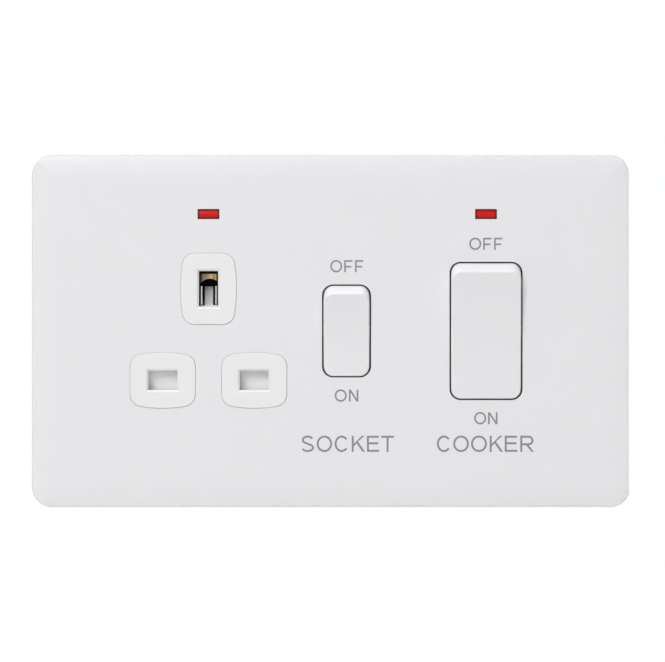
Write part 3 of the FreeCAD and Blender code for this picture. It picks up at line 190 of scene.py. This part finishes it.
def tinnedContact():
    # brass spring contact: tinned pale at the mouth, worn to brass in streaks where pins rub it; painted shade
    # darkens it below the web and beside the web
    material, tree, shader, place = newFinish("tinned brass spring contact", "#c9a577", roughness=0.2, Metallic=1.0)
    along = addNode(tree, "ShaderNodeMapping", {"Vector": place, "Scale": (1.0, 0.12, 0.12)})
    streaks = mottled(tree, along.outputs["Vector"], shader.inputs["Roughness"], size=0.8, low=0.16, high=0.25,
                      detail=2.0)
    bands = addNode(tree, "ShaderNodeMapRange", {"Value": streaks.outputs["Fac"], "From Min": 0.42, "From Max": 0.58})
    rubbed = addNode(tree, "ShaderNodeMix", {"Factor": bands.outputs["Result"]}, data_type="RGBA")
    rubbed.inputs[6].default_value = linearColour(pinContact["brass"])
    rubbed.inputs[7].default_value = linearColour(pinContact["streak"])
    depth = addNode(tree, "ShaderNodeSeparateXYZ", {"Vector": place})
    across = addNode(tree, "ShaderNodeMapRange",
                     {"Value": depth.outputs["X"], "From Min": pinContact["bareFrom"] * mm,
                      "From Max": (pinContact["bareFrom"] + pinContact["fade"]) * mm})
    dulled = addNode(tree, "ShaderNodeMix", {"Factor": across.outputs["Result"]}, data_type="RGBA")
    dulled.inputs[6].default_value = linearColour(pinContact["wornTin"])
    tree.links.new(rubbed.outputs[2], dulled.inputs[7])
    tinned = addNode(tree, "ShaderNodeMapRange",
                     {"Value": depth.outputs["Y"], "From Min": pinContact["mouthDepth"][0] * mm,
                      "From Max": pinContact["mouthDepth"][1] * mm})
    skin = addNode(tree, "ShaderNodeMix", {"Factor": tinned.outputs["Result"]}, data_type="RGBA")
    skin.inputs[6].default_value = linearColour(pinContact["tin"])
    # painted shade: dark below the web and beside it, where the earth way lies in shade
    height = addNode(tree, "ShaderNodeMapRange",
                     {"Value": depth.outputs["Z"], "From Min": pinContact["shadeBelowHeight"][0] * mm,
                      "From Max": pinContact["shadeBelowHeight"][1] * mm})
    offset = addNode(tree, "ShaderNodeMath", {0: depth.outputs["X"], 1: pinContact["webMiddle"] * mm},
                     operation="SUBTRACT")
    away = addNode(tree, "ShaderNodeMath", {0: offset.outputs[0]}, operation="ABSOLUTE")
    beside = addNode(tree, "ShaderNodeMapRange",
                     {"Value": away.outputs[0], "From Min": pinContact["webHalf"] * mm,
                      "From Max": (pinContact["webHalf"] + pinContact["fade"]) * mm, "To Min": 1.0, "To Max": 0.0})
    unshaded = addNode(tree, "ShaderNodeMath", {0: height.outputs["Result"], 1: beside.outputs["Result"]},
                   operation="MULTIPLY")
    foot = addNode(tree, "ShaderNodeMix", {"Factor": unshaded.outputs[0]}, data_type="RGBA")
    foot.inputs[6].default_value = linearColour(pinContact["dark"])
    tree.links.new(dulled.outputs[2], foot.inputs[7])
    tree.links.new(foot.outputs[2], skin.inputs[7])
    tree.links.new(skin.outputs[2], shader.inputs["Base Color"])
    return material


def silverAlloy():
    # silver-cadmium contact rivet: pale, warm, softly dulled by sparking
    material, tree, shader, place = newFinish("silver alloy contact rivet", "#dad7cf", roughness=0.38, Metallic=1.0)
    mottled(tree, place, shader.inputs["Roughness"], size=0.5, low=0.3, high=0.5)
    return material


def naturalNylon():
    # unpigmented nylon: creamy and waxy
    material, tree, shader, place = newFinish("natural nylon", "#e6e0d0", roughness=0.42, IOR=1.53)
    mottled(tree, place, shader.inputs["Roughness"], size=0.8, low=0.36, high=0.5)
    return material


def drawnWire():
    # hard-drawn spring wire: dark bright steel
    material, tree, shader, place = newFinish("hard drawn spring wire", "#9a9da2", roughness=0.28, Metallic=1.0)
    mottled(tree, place, shader.inputs["Roughness"], size=0.3, low=0.22, high=0.36)
    return material


lens = {
    "body": "#dc120e", "rim": "#5c0d0c",
    "dark": 0.1, "clear": 0.45,  # mm in from the edge of the window, where the painted shade rim ends and where the body begins
    "window": 0.5,  # depth of the part that fills the window in the cover
}


def redLens(name, node):
    # clear red polycarbonate over a dark lamp bed: saturated red body, hard gloss, and a painted shade rim round its
    # edge where it is seated in the window
    material, tree, shader, place = newFinish(name, lens["body"], roughness=0.2, IOR=1.585,
                                              Transmission_Weight=0.08, Specular_IOR_Level=0.12)
    mottled(tree, place, shader.inputs["Roughness"], size=1.5, low=0.16, high=0.25)
    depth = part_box(node)[0][1] + lens["window"] * mm
    window = [corner.co for corner in nodes[node].data.vertices if corner.co.y < depth]
    axes = addNode(tree, "ShaderNodeSeparateXYZ", {"Vector": place})
    inward = []
    for axis, index in (("X", 0), ("Z", 2)):
        low, high = min(corner[index] for corner in window), max(corner[index] for corner in window)
        offset = addNode(tree, "ShaderNodeMath", {0: axes.outputs[axis], 1: (low + high) / 2}, operation="SUBTRACT")
        away = addNode(tree, "ShaderNodeMath", {0: offset.outputs[0]}, operation="ABSOLUTE")
        inward.append(addNode(tree, "ShaderNodeMath", {0: (high - low) / 2, 1: away.outputs[0]},
                              operation="SUBTRACT"))
    # painted shade: the colour darkens to the rim colour near the edge of the window
    rim = addNode(tree, "ShaderNodeMath", {0: inward[0].outputs[0], 1: inward[1].outputs[0]}, operation="MINIMUM")
    body = addNode(tree, "ShaderNodeMapRange",
                   {"Value": rim.outputs[0], "From Min": lens["dark"] * mm, "From Max": lens["clear"] * mm})
    colour = addNode(tree, "ShaderNodeMix", {"Factor": body.outputs["Result"]}, data_type="RGBA")
    colour.inputs[6].default_value = linearColour(lens["rim"])
    colour.inputs[7].default_value = linearColour(lens["body"])
    tree.links.new(colour.outputs[2], shader.inputs["Base Color"])
    return material


def lampGlass():
    # soda glass envelope of a neon glow lamp
    return newFinish("clear lamp glass", "#f4ece4", roughness=0.03, IOR=1.52, Transmission_Weight=1.0)[0]


def bakedEnamel():
    # carbon film resistor: matt sandy lacquer
    material, tree, shader, place = newFinish("baked resistor lacquer", "#c4a877", roughness=0.45)
    grain = mottled(tree, place, shader.inputs["Roughness"], size=0.25, low=0.38, high=0.55)
    surfaceBump(tree, shader, grain.outputs["Fac"], distance=0.01, strength=0.4)
    return material


def padInk():
    # pad-printed grey ink: thin, flat and slightly duller than the moulding under it
    material, tree, shader, place = newFinish("grey pad printing ink", "#85878a", roughness=0.5)
    mottled(tree, place, shader.inputs["Roughness"], size=0.3, low=0.44, high=0.58)
    return material


def blackShadeLip():
    # soft black lip, painted shade: it stands in for the shade in the gap round each rocker; dry matt skin
    material, tree, shader, place = newFinish("black lip for painted gap shade", "#0a0a0b", roughness=0.62, IOR=1.5,
                                              Specular_IOR_Level=0.2)
    grain = mottled(tree, place, shader.inputs["Roughness"], size=0.3, low=0.56, high=0.7)
    surfaceBump(tree, shader, grain.outputs["Fac"], distance=0.004, strength=0.4)
    return material


finishes = {
    "front_cover": glossUrea("gloss white urea cover", "#e7e7e9", 0.24),
    "socket_face": glossUrea("gloss white urea socket face", "#eaeaeb", 0.3),
    "rocker": glossUrea("gloss white polycarbonate rocker", "#e8e8ea", 0.2),
    "carrier": satinNylon("satin dark grey nylon 66", "#242528", 0.5),
    "shutter": satinNylon("satin white nylon 66", "#fbfbfa", 0.46),
    "housing": mattThermoset(),
    "zinc": brightZinc(),
    "brass": rolledStrip("cold rolled brass", "#c9a869", "#b8935a", 0.3),
    "darkBrass": rolledStrip("dark oxidised brass", "#3f362c", "#2f2822", 0.4),
    "copper": rolledStrip("cold rolled copper", "#c98762", "#b5714e", 0.3),
    "tinned": tinnedContact(),
    "silver": silverAlloy(),
    "nylon": naturalNylon(),
    "wire": drawnWire(),
    "socketLens": redLens("clear red polycarbonate", "socket_neon_lens"),
    "cookerLens": redLens("clear red polycarbonate over the cooker switch", "cooker_neon_lens"),
    "glass": lampGlass(),
    "lacquer": bakedEnamel(),
    "ink": padInk(),
    "lip": blackShadeLip(),
}
print("finishes made:", len(finishes))

nodeFinishes = {
    "front_cover": ["front_cover"],
    "socket_face": ["socket_face"],
    "rocker": ["socket_rocker", "cooker_rocker"],
    "carrier": ["switch_carrier"],
    "shutter": ["shutter"],
    "housing": ["rear_housing"],
    "zinc": ["mounting_frame", "housing_screws", "clamp_screws"],
    "tinned": ["live_pin_contact", "neutral_pin_contact", "earth_contact"],
    "darkBrass": ["earth_strap"],
    "brass": ["socket_fulcrum", "cooker_live_fulcrum", "cooker_neutral_fulcrum",
              "cooker_live_fixed_contact", "cooker_neutral_fixed_contact", "supply_live_terminal",
              "supply_neutral_terminal", "supply_earth_terminal", "load_live_terminal", "load_neutral_terminal",
              "load_earth_terminal"],
    "copper": ["socket_live_link", "live_busbar", "neutral_busbar", "socket_contact_arm",
               "cooker_live_contact_arm", "cooker_neutral_contact_arm"],
    "silver": ["fixed_contact_tips", "socket_arm_tip", "cooker_live_arm_tip", "cooker_neutral_arm_tip"],
    "nylon": ["socket_plunger", "cooker_live_plunger", "cooker_neutral_plunger"],
    "wire": ["socket_plunger_spring", "cooker_live_plunger_spring", "cooker_neutral_plunger_spring",
             "shutter_spring"],
    "socketLens": ["socket_neon_lens"],
    "cookerLens": ["cooker_neon_lens"],
    "glass": ["socket_neon_lamp", "cooker_neon_lamp"],
    "lacquer": ["socket_neon_resistor", "cooker_neon_resistor"],
}


def dressSolids():
    for finish, names in nodeFinishes.items():
        for name in names:
            slots = nodes[name].material_slots
            if not slots:
                nodes[name].data.materials.append(finishes[finish])
            for slot in nodes[name].material_slots:
                slot.material = finishes[finish]


dressSolids()
print("solids dressed")


# springs: round wire, with a closed coil at each end

def onlySelect(piece):
    bpy.ops.object.select_all(action="DESELECT")
    piece.select_set(True)
    bpy.context.view_layer.objects.active = piece


def settle(piece):
    onlySelect(piece)
    bpy.ops.object.transform_apply(location=True, rotation=True, scale=True)


weldWithin = 0.0005  # mm


def meshOf(name, curve):
    # makes a mesh piece of a curve while it still lies at the origin
    piece = bpy.data.objects.new(name, curve)
    bpy.context.collection.objects.link(piece)
    onlySelect(piece)
    bpy.ops.object.convert(target="MESH")
    return bpy.context.object


def putInPlace(piece, turned, spot, finish):
    # then merges the loose edges that the curve left, and turns every face outwards
    piece.rotation_euler = turned
    piece.location = spot
    settle(piece)
    bpy.ops.object.mode_set(mode="EDIT")
    bpy.ops.mesh.select_all(action="SELECT")
    bpy.ops.mesh.remove_doubles(threshold=weldWithin * mm)
    bpy.ops.mesh.normals_make_consistent(inside=False)
    bpy.ops.object.mode_set(mode="OBJECT")
    piece.data.materials.clear()
    piece.data.materials.append(finishes[finish])


springs = {
    "stepsInTurn": 24,
    "wireSteps": 2,
    "smoothBelow": 45,  # degrees
    "plunger": {"radius": 1.15, "wire": 0.35, "turns": 8, "tilt": 7.4},
    "shutter": {"radius": 0.85, "wire": 0.3, "turns": 9, "tilt": 90.0},
    "pieces": [  # name, node, kind, body
        ("socketPlungerSpring", "socket_plunger_spring", "plunger", "socket_rocker"),
        ("cookerLivePlungerSpring", "cooker_live_plunger_spring", "plunger", "cooker_rocker"),
        ("cookerNeutralPlungerSpring", "cooker_neutral_plunger_spring", "plunger", "cooker_rocker"),
        ("shutterReturnSpring", "shutter_spring", "shutter", "base"),
    ],
    "shutterKeep": 0.48,  # the shutter takes 5.0 of its 9.65 mm
}


def windSpring(name, node, kind, body):
    facts = springs[kind]
    radius, wire, tilt = facts["radius"] * mm, facts["wire"] * mm, facts["tilt"] * pi / 180
    low, high = [Vector(corner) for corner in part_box(node)]
    along = Vector((0, cos(tilt), sin(tilt)))
    if kind == "plunger":  # its box is deeper than the tilted spring is long, by a share of its width
        length = (high.y - low.y - (2 * radius + wire) * sin(tilt)) / cos(tilt)
    else:
        length = high.z - low.z
    steps = springs["stepsInTurn"]
    pitch = (length - 3 * wire) / (facts["turns"] - 2)  # of the open turns between the two closed ones
    path = bpy.data.curves.new(name, "CURVE")
    path.dimensions = "3D"
    path.bevel_depth = wire / 2
    path.bevel_resolution = springs["wireSteps"]
    path.use_fill_caps = True
    spline = path.splines.new("POLY")
    count = facts["turns"] * steps
    spline.points.add(count)
    for step, point in enumerate(spline.points):
        turn = step / steps
        closed = min(turn, 1) + max(turn - facts["turns"] + 1, 0)
        rise = wire / 2 + closed * wire + (turn - closed) * pitch
        point.co = (radius * cos(turn * 2 * pi), radius * sin(turn * 2 * pi), rise, 1)
    piece = meshOf(name, path)
    putInPlace(piece, (tilt - pi / 2, 0, 0), (low + high) / 2 - along * length / 2, "wire")
    bpy.ops.object.shade_smooth_by_angle(angle=springs["smoothBelow"] * pi / 180)
    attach(piece, body)
    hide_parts(node)
    if kind == "shutter":
        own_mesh(piece)


for entry in springs["pieces"]:
    windSpring(*entry)
print("springs wound")


# shade lips: a thin soft black ring at the edge of each rocker opening, just under the face of the cover, a dark
# piece that stands in for the shade in the gap round each rocker

shadeLips = {
    "openings": {"socketShadeLip": (3.71, 11.92, 22.6), "cookerShadeLip": (37.6, 17.75, 33.6)},  # middle, wide, high
    "corner": 2.7,
    "cornerSteps": 12,
    "seated": 0.06,  # into the edge of the opening
    "reach": 0.3,  # towards the rocker, which clears the opening by 0.38
    "thick": 0.1,
    "below": 0.03,
}


def layShadeLip(name, across, wide, high):
    facts = shadeLips
    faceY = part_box("front_cover")[0][1] + facts["below"] * mm
    bpy.ops.mesh.primitive_plane_add(size=1, location=(across * mm, faceY, 0), rotation=(pi / 2, 0, 0))
    lip = bpy.context.object
    lip.name = name
    lip.scale = ((wide + 2 * facts["seated"]) * mm, (high + 2 * facts["seated"]) * mm, 1)
    settle(lip)
    bpy.ops.object.mode_set(mode="EDIT")
    bpy.ops.mesh.select_all(action="SELECT")
    bpy.ops.mesh.bevel(offset=(facts["corner"] + facts["seated"]) * mm, segments=facts["cornerSteps"],
                       affect="VERTICES")
    bpy.ops.mesh.select_all(action="SELECT")
    bpy.ops.mesh.inset(thickness=(facts["seated"] + facts["reach"]) * mm)
    bpy.ops.mesh.delete(type="FACE")
    bpy.ops.object.mode_set(mode="OBJECT")
    skin = lip.modifiers.new("skin", "SOLIDIFY")
    skin.thickness = facts["thick"] * mm
    skin.offset = -1.0  # behind the ring
    bpy.ops.object.modifier_apply(modifier="skin")
    lip.data.materials.append(finishes["lip"])
    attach(lip, "base")


# each lip is painted shade: a black ring where the gap round the rocker is in shade
for name, opening in shadeLips["openings"].items():
    layShadeLip(name, *opening)
print("shade lips laid")


# lettering: light upright capitals, each drawn as flat outlines in a box of its own width

lettering = {
    "inkThick": 0.03,
    "inkAhead": 0.0135,  # from the face of the cover to the middle of the ink, so that its back lies in the face
    "arcSteps": 28,
    "small": {"high": 2.92, "stroke": 0.4},
    "large": {"high": 3.9, "stroke": 0.48},
    "overshoot": 0.05,  # round letters reach a little past the flat ones
    "words": [  # name, size, height of the middle, then each letter with its left edge and width
        ("offSocket", "small", 15.73, [("O", -0.26, 2.92), ("F", 3.14, 2.02), ("F", 5.78, 2.0)]),
        ("onSocket", "small", -15.7, [("O", 0.84, 2.92), ("N", 4.3, 2.28)]),
        ("offCooker", "small", 21.17, [("O", 33.52, 2.92), ("F", 36.92, 2.02), ("F", 39.56, 2.0)]),
        ("onCooker", "small", -21.2, [("O", 34.71, 2.92), ("N", 38.1, 2.28)]),
        ("nameSocket", "large", -27.42, [("S", -7.26, 3.06), ("O", -3.54, 3.75), ("C", 0.82, 3.4),
                                         ("K", 4.98, 3.23), ("E", 8.67, 2.94), ("T", 12.13, 3.11)]),
        ("nameCooker", "large", -27.41, [("C", 25.66, 3.43), ("O", 29.62, 3.82), ("O", 33.95, 3.87),
                                         ("K", 38.5, 3.24), ("E", 42.15, 3.04), ("R", 45.92, 3.33)]),
    ],
}


def arc(centre, wide, high, start, end):
    # points on an oval between two angles in degrees
    steps = lettering["arcSteps"]
    turns = [(start + (end - start) * step / steps) * pi / 180 for step in range(steps + 1)]
    return [(centre[0] + wide * cos(turn), centre[1] + high * sin(turn)) for turn in turns]


def ribbon(points, stroke):
    # one closed outline, half a stroke away on each side of a bent line
    sides = ([], [])
    for index, (across, up) in enumerate(points):
        before, after = points[max(index - 1, 0)], points[min(index + 1, len(points) - 1)]
        run = Vector((after[0] - before[0], after[1] - before[1])).normalized() * stroke / 2
        sides[0].append((across - run.y, up + run.x))
        sides[1].append((across + run.y, up - run.x))
    return sides[0] + sides[1][::-1]


def letterOutlines(letter, w, h, s):
    # w, h and s are the letter's width, height and stroke, and the bare numbers are shares of them
    half, bar = s / 2, h * 0.53  # half a stroke, and the level of the middle bar
    if letter in "OCS":
        over = lettering["overshoot"]
        middle, wide, high = (w / 2, h / 2), w / 2, h / 2 + over
        if letter == "O":
            return [arc(middle, wide, high, 0, 360)[1:], arc(middle, wide - s, high - s, 0, 360)[1:]]
        if letter == "C":
            return [ribbon(arc(middle, wide - half, high - half, 38, 322), s)]
        upper, lower = (h - bar + over) / 2, (bar + over) / 2 - half / 2
        top = arc((w / 2, h + over - half - upper + half / 2), wide * 0.93 - half, upper - half / 2, 22, 255)
        foot = arc((w / 2, lower - over + half / 2), wide - half, lower - half / 2, 75, -160)
        return [ribbon(top + foot, s)]
    if letter == "E":
        return [[(0, 0), (w, 0), (w, s), (s, s), (s, bar - half), (w * 0.94, bar - half), (w * 0.94, bar + half),
                 (s, bar + half), (s, h - s), (w * 0.98, h - s), (w * 0.98, h), (0, h)]]
    if letter == "F":
        return [[(0, 0), (s, 0), (s, bar - s), (w * 0.86, bar - s), (w * 0.86, bar), (s, bar), (s, h - s),
                 (w, h - s), (w, h), (0, h)]]
    if letter == "T":
        return [[(w / 2 - half, 0), (w / 2 + half, 0), (w / 2 + half, h - s), (w, h - s), (w, h), (0, h), (0, h - s),
                 (w / 2 - half, h - s)]]
    if letter == "N":
        return [[(0, 0), (s, 0), (s, h - 1.7 * s), (w - 1.1 * s, 0), (w, 0), (w, h), (w - s, h), (w - s, 1.7 * s),
                 (1.1 * s, h), (0, h)]]
    if letter == "K":
        return [[(0, 0), (s, 0), (s, h * 0.34), (w * 0.36, h * 0.53), (w - 1.3 * s, 0), (w, 0), (w * 0.47, h * 0.64),
                 (w * 0.96, h), (w * 0.96 - 1.35 * s, h), (s, h * 0.49), (s, h), (0, h)]]
    bowl = (h - bar + s) / 2  # R
    bend = (w * 0.96 - bowl, h - bowl)
    outside = [(0, 0), (s, 0), (s, bar - s), (w * 0.42, bar - s), (w - 1.2 * s, 0), (w, 0), (w * 0.62, bar - s)]
    outside += arc(bend, bowl, bowl, -82, 90) + [(0, h)]
    return [outside, [(s, bar)] + arc(bend, bowl - s, bowl - s, -90, 90) + [(s, h - s)]]


def flatPiece(name, outlines, thick):
    # a plate cut to closed outlines in mm, where an outline inside another is a hole
    flat = bpy.data.curves.new(name, "CURVE")
    flat.dimensions = "2D"
    flat.fill_mode = "BOTH"
    flat.extrude = thick * mm / 2
    for outline in outlines:
        spline = flat.splines.new("POLY")
        spline.points.add(len(outline) - 1)
        for point, (across, up) in zip(spline.points, outline):
            point.co = (across * mm, up * mm, 0, 1)
        spline.use_cyclic_u = True
    return meshOf(name, flat)


def printWord(name, size, level, letters):
    high, stroke = lettering[size]["high"], lettering[size]["stroke"]
    outlines = []
    for letter, left, wide in letters:
        for outline in letterOutlines(letter, wide, high, stroke):
            outlines.append([(left + across, up) for across, up in outline])
    piece = flatPiece(name, outlines, lettering["inkThick"])
    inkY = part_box("front_cover")[0][1] - lettering["inkAhead"] * mm
    putInPlace(piece, (pi / 2, 0, 0), (0, inkY, (level - high / 2) * mm), "ink")
    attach(piece, "base")


for entry in lettering["words"]:
    printWord(*entry)
print("lettering printed")


# terminal marks: L, N and the earth sign, raised on the back of the housing beside each clamp screw

terminalMarks = {
    "high": 2.6, "wide": 1.8, "stroke": 0.42, "raised": 0.15, "sunk": 0.1, "level": 15.6,
    "earthBars": [(1.3, 0.5), (0.85, 0.25), (0.4, 0)],  # width and height of each bar, as shares of the mark's own
    "places": [  # name, sign, place across, and above or below the middle
        ("supplyLiveMark", "L", 31.0, -1),
        ("supplyNeutralMark", "N", 44.2, -1),
        ("loadLiveMark", "L", 31.0, 1),
        ("loadNeutralMark", "N", 44.2, 1),
        ("supplyEarthMark", "earth", -37.83, 1),
        ("loadEarthMark", "earth", -21.83, 1),
    ],
}


def markOutlines(sign, w, h, s):
    if sign == "L":
        return [[(0, 0), (w, 0), (w, s), (s, s), (s, h), (0, h)]]
    if sign == "N":
        return letterOutlines("N", w, h, s)
    half, bars = s / 2, []
    for wideShare, lowShare in terminalMarks["earthBars"]:
        left, right, low = (w - w * wideShare) / 2, (w + w * wideShare) / 2, h * lowShare
        bars.append([(left, low), (right, low), (right, low + s), (left, low + s)])
    longest, top = bars[0], bars[0][2][1]
    stem = [(w / 2 + half, top), (w / 2 + half, h), (w / 2 - half, h), (w / 2 - half, top)]
    return [longest[:3] + stem + longest[3:]] + bars[1:]


def raiseMark(name, sign, across, side):
    facts = terminalMarks
    wide, high, thick = facts["wide"], facts["high"], facts["raised"] + facts["sunk"]
    outlines = []
    for outline in markOutlines(sign, wide, high, facts["stroke"]):
        outlines.append([(right - wide / 2, up - high / 2) for right, up in outline])
    piece = flatPiece(name, outlines, thick)
    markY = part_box("rear_housing")[1][1] + (facts["raised"] - thick / 2) * mm
    putInPlace(piece, (pi / 2, 0, pi), (across * mm, markY, side * facts["level"] * mm), "housing")
    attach(piece, "base")


for place in terminalMarks["places"]:
    raiseMark(*place)
print("terminal marks raised")


# camera, light and floor

camera = {
    "pixelsPerMm": 4.11,  # at the depth below
    "matchDepth": -5.0,  # mm, about the face of the plate
    "distance": 2.0,  # metres in front of that depth
    "imageWide": 665, "imageHigh": 662,
    "centreAcross": 331.25, "centreDown": 330.95,  # the plate's middle in the image
    "sensor": 36.0,
}


def placeCamera():
    across = (camera["imageWide"] / 2 - camera["centreAcross"]) / camera["pixelsPerMm"] * mm
    up = -(camera["imageHigh"] / 2 - camera["centreDown"]) / camera["pixelsPerMm"] * mm
    bpy.ops.object.camera_add(location=(across, camera["matchDepth"] * mm - camera["distance"], up),
                              rotation=(pi / 2, 0, 0))
    eye = bpy.context.object
    eye.name = "frontCamera"
    eye.data.sensor_width = camera["sensor"]
    seenWide = camera["imageWide"] / camera["pixelsPerMm"] * mm
    eye.data.lens = camera["sensor"] * camera["distance"] / seenWide
    bpy.context.scene.camera = eye


lamps = {  # places and sizes in metres, powers in watts, all aimed at the middle of the object
    "key": {"place": (-0.5, -1.5, 0.72), "size": 0.8, "power": 12.1},
    "top": {"place": (0.0, -0.5, 1.6), "size": 1.2, "power": 14.0},
    "side": {"place": (-1.6, -0.35, 0.1), "size": 0.6, "power": 1.5},
    "fill": {"place": (-0.07, -2.1, 0.08), "size": 0.2, "power": 2.4},  # shines into the pin ways
    "back": {"place": (1.2, 1.5, 0.3), "size": 1.2, "power": 26.0},
}


def hangLamps():
    for name, facts in lamps.items():
        spot = Vector(facts["place"])
        bpy.ops.object.light_add(type="AREA", location=spot, rotation=(-spot).to_track_quat("-Z", "Y").to_euler())
        lamp = bpy.context.object
        lamp.name = name + "Lamp"
        lamp.data.shape = "DISK"
        lamp.data.size = facts["size"]
        lamp.data.energy = facts["power"]
        lamp.visible_glossy = name != "fill"  # straight ahead, it would show as a spot in the gloss


worldFacts = {
    "around": 0.4,  # light from the sides, above and below, falling to nothing
    "reach": 0.8,  # by this share of the way round to the front and the back
    "background": 1.0,
}


def paintWorld():
    # a light tent, brighter round the sides than in front; seen directly or in gloss it is plain white
    world = bpy.data.worlds.new("paleStudio")
    world.use_nodes = True
    bpy.context.scene.world = world
    tree = world.node_tree
    path = addNode(tree, "ShaderNodeLightPath", {})
    seen = addNode(tree, "ShaderNodeMath", {0: path.outputs["Is Camera Ray"], 1: path.outputs["Is Glossy Ray"]},
                   operation="MAXIMUM")
    seen = addNode(tree, "ShaderNodeMath", {0: seen.outputs[0], 1: path.outputs["Is Transmission Ray"]},
                   operation="MAXIMUM")
    place = addNode(tree, "ShaderNodeTexCoord", {})
    towards = addNode(tree, "ShaderNodeSeparateXYZ", {"Vector": place.outputs["Generated"]})
    depth = addNode(tree, "ShaderNodeMath", {0: towards.outputs["Y"]}, operation="ABSOLUTE")
    ambient = addNode(tree, "ShaderNodeMapRange",
                      {"Value": depth.outputs[0], "From Max": worldFacts["reach"],
                       "To Min": worldFacts["around"], "To Max": 0.0})
    strength = addNode(tree, "ShaderNodeMapRange",
                       {"Value": seen.outputs[0], "To Min": ambient.outputs["Result"],
                        "To Max": worldFacts["background"]})
    sky = tree.nodes["Background"]
    sky.inputs["Color"].default_value = (1.0, 1.0, 1.0, 1.0)
    tree.links.new(strength.outputs["Result"], sky.inputs["Strength"])


floorFacts = {"below": 0.12, "radius": 1.4, "sides": 96, "colour": "#f6f6f6", "roughness": 0.9}  # lengths in metres


def layFloor():
    bpy.ops.mesh.primitive_circle_add(vertices=floorFacts["sides"], radius=floorFacts["radius"], fill_type="NGON",
                                      location=(0, 0, cadBox[0][2] - floorFacts["below"]))
    floor = bpy.context.object
    floor.name = "floor"
    settle(floor)
    floor.data.materials.append(newFinish("pale studio floor", floorFacts["colour"], floorFacts["roughness"])[0])


placeCamera()
hangLamps()
paintWorld()
layFloor()
bpy.context.scene.view_settings.view_transform = "Standard"
print("camera and light placed")
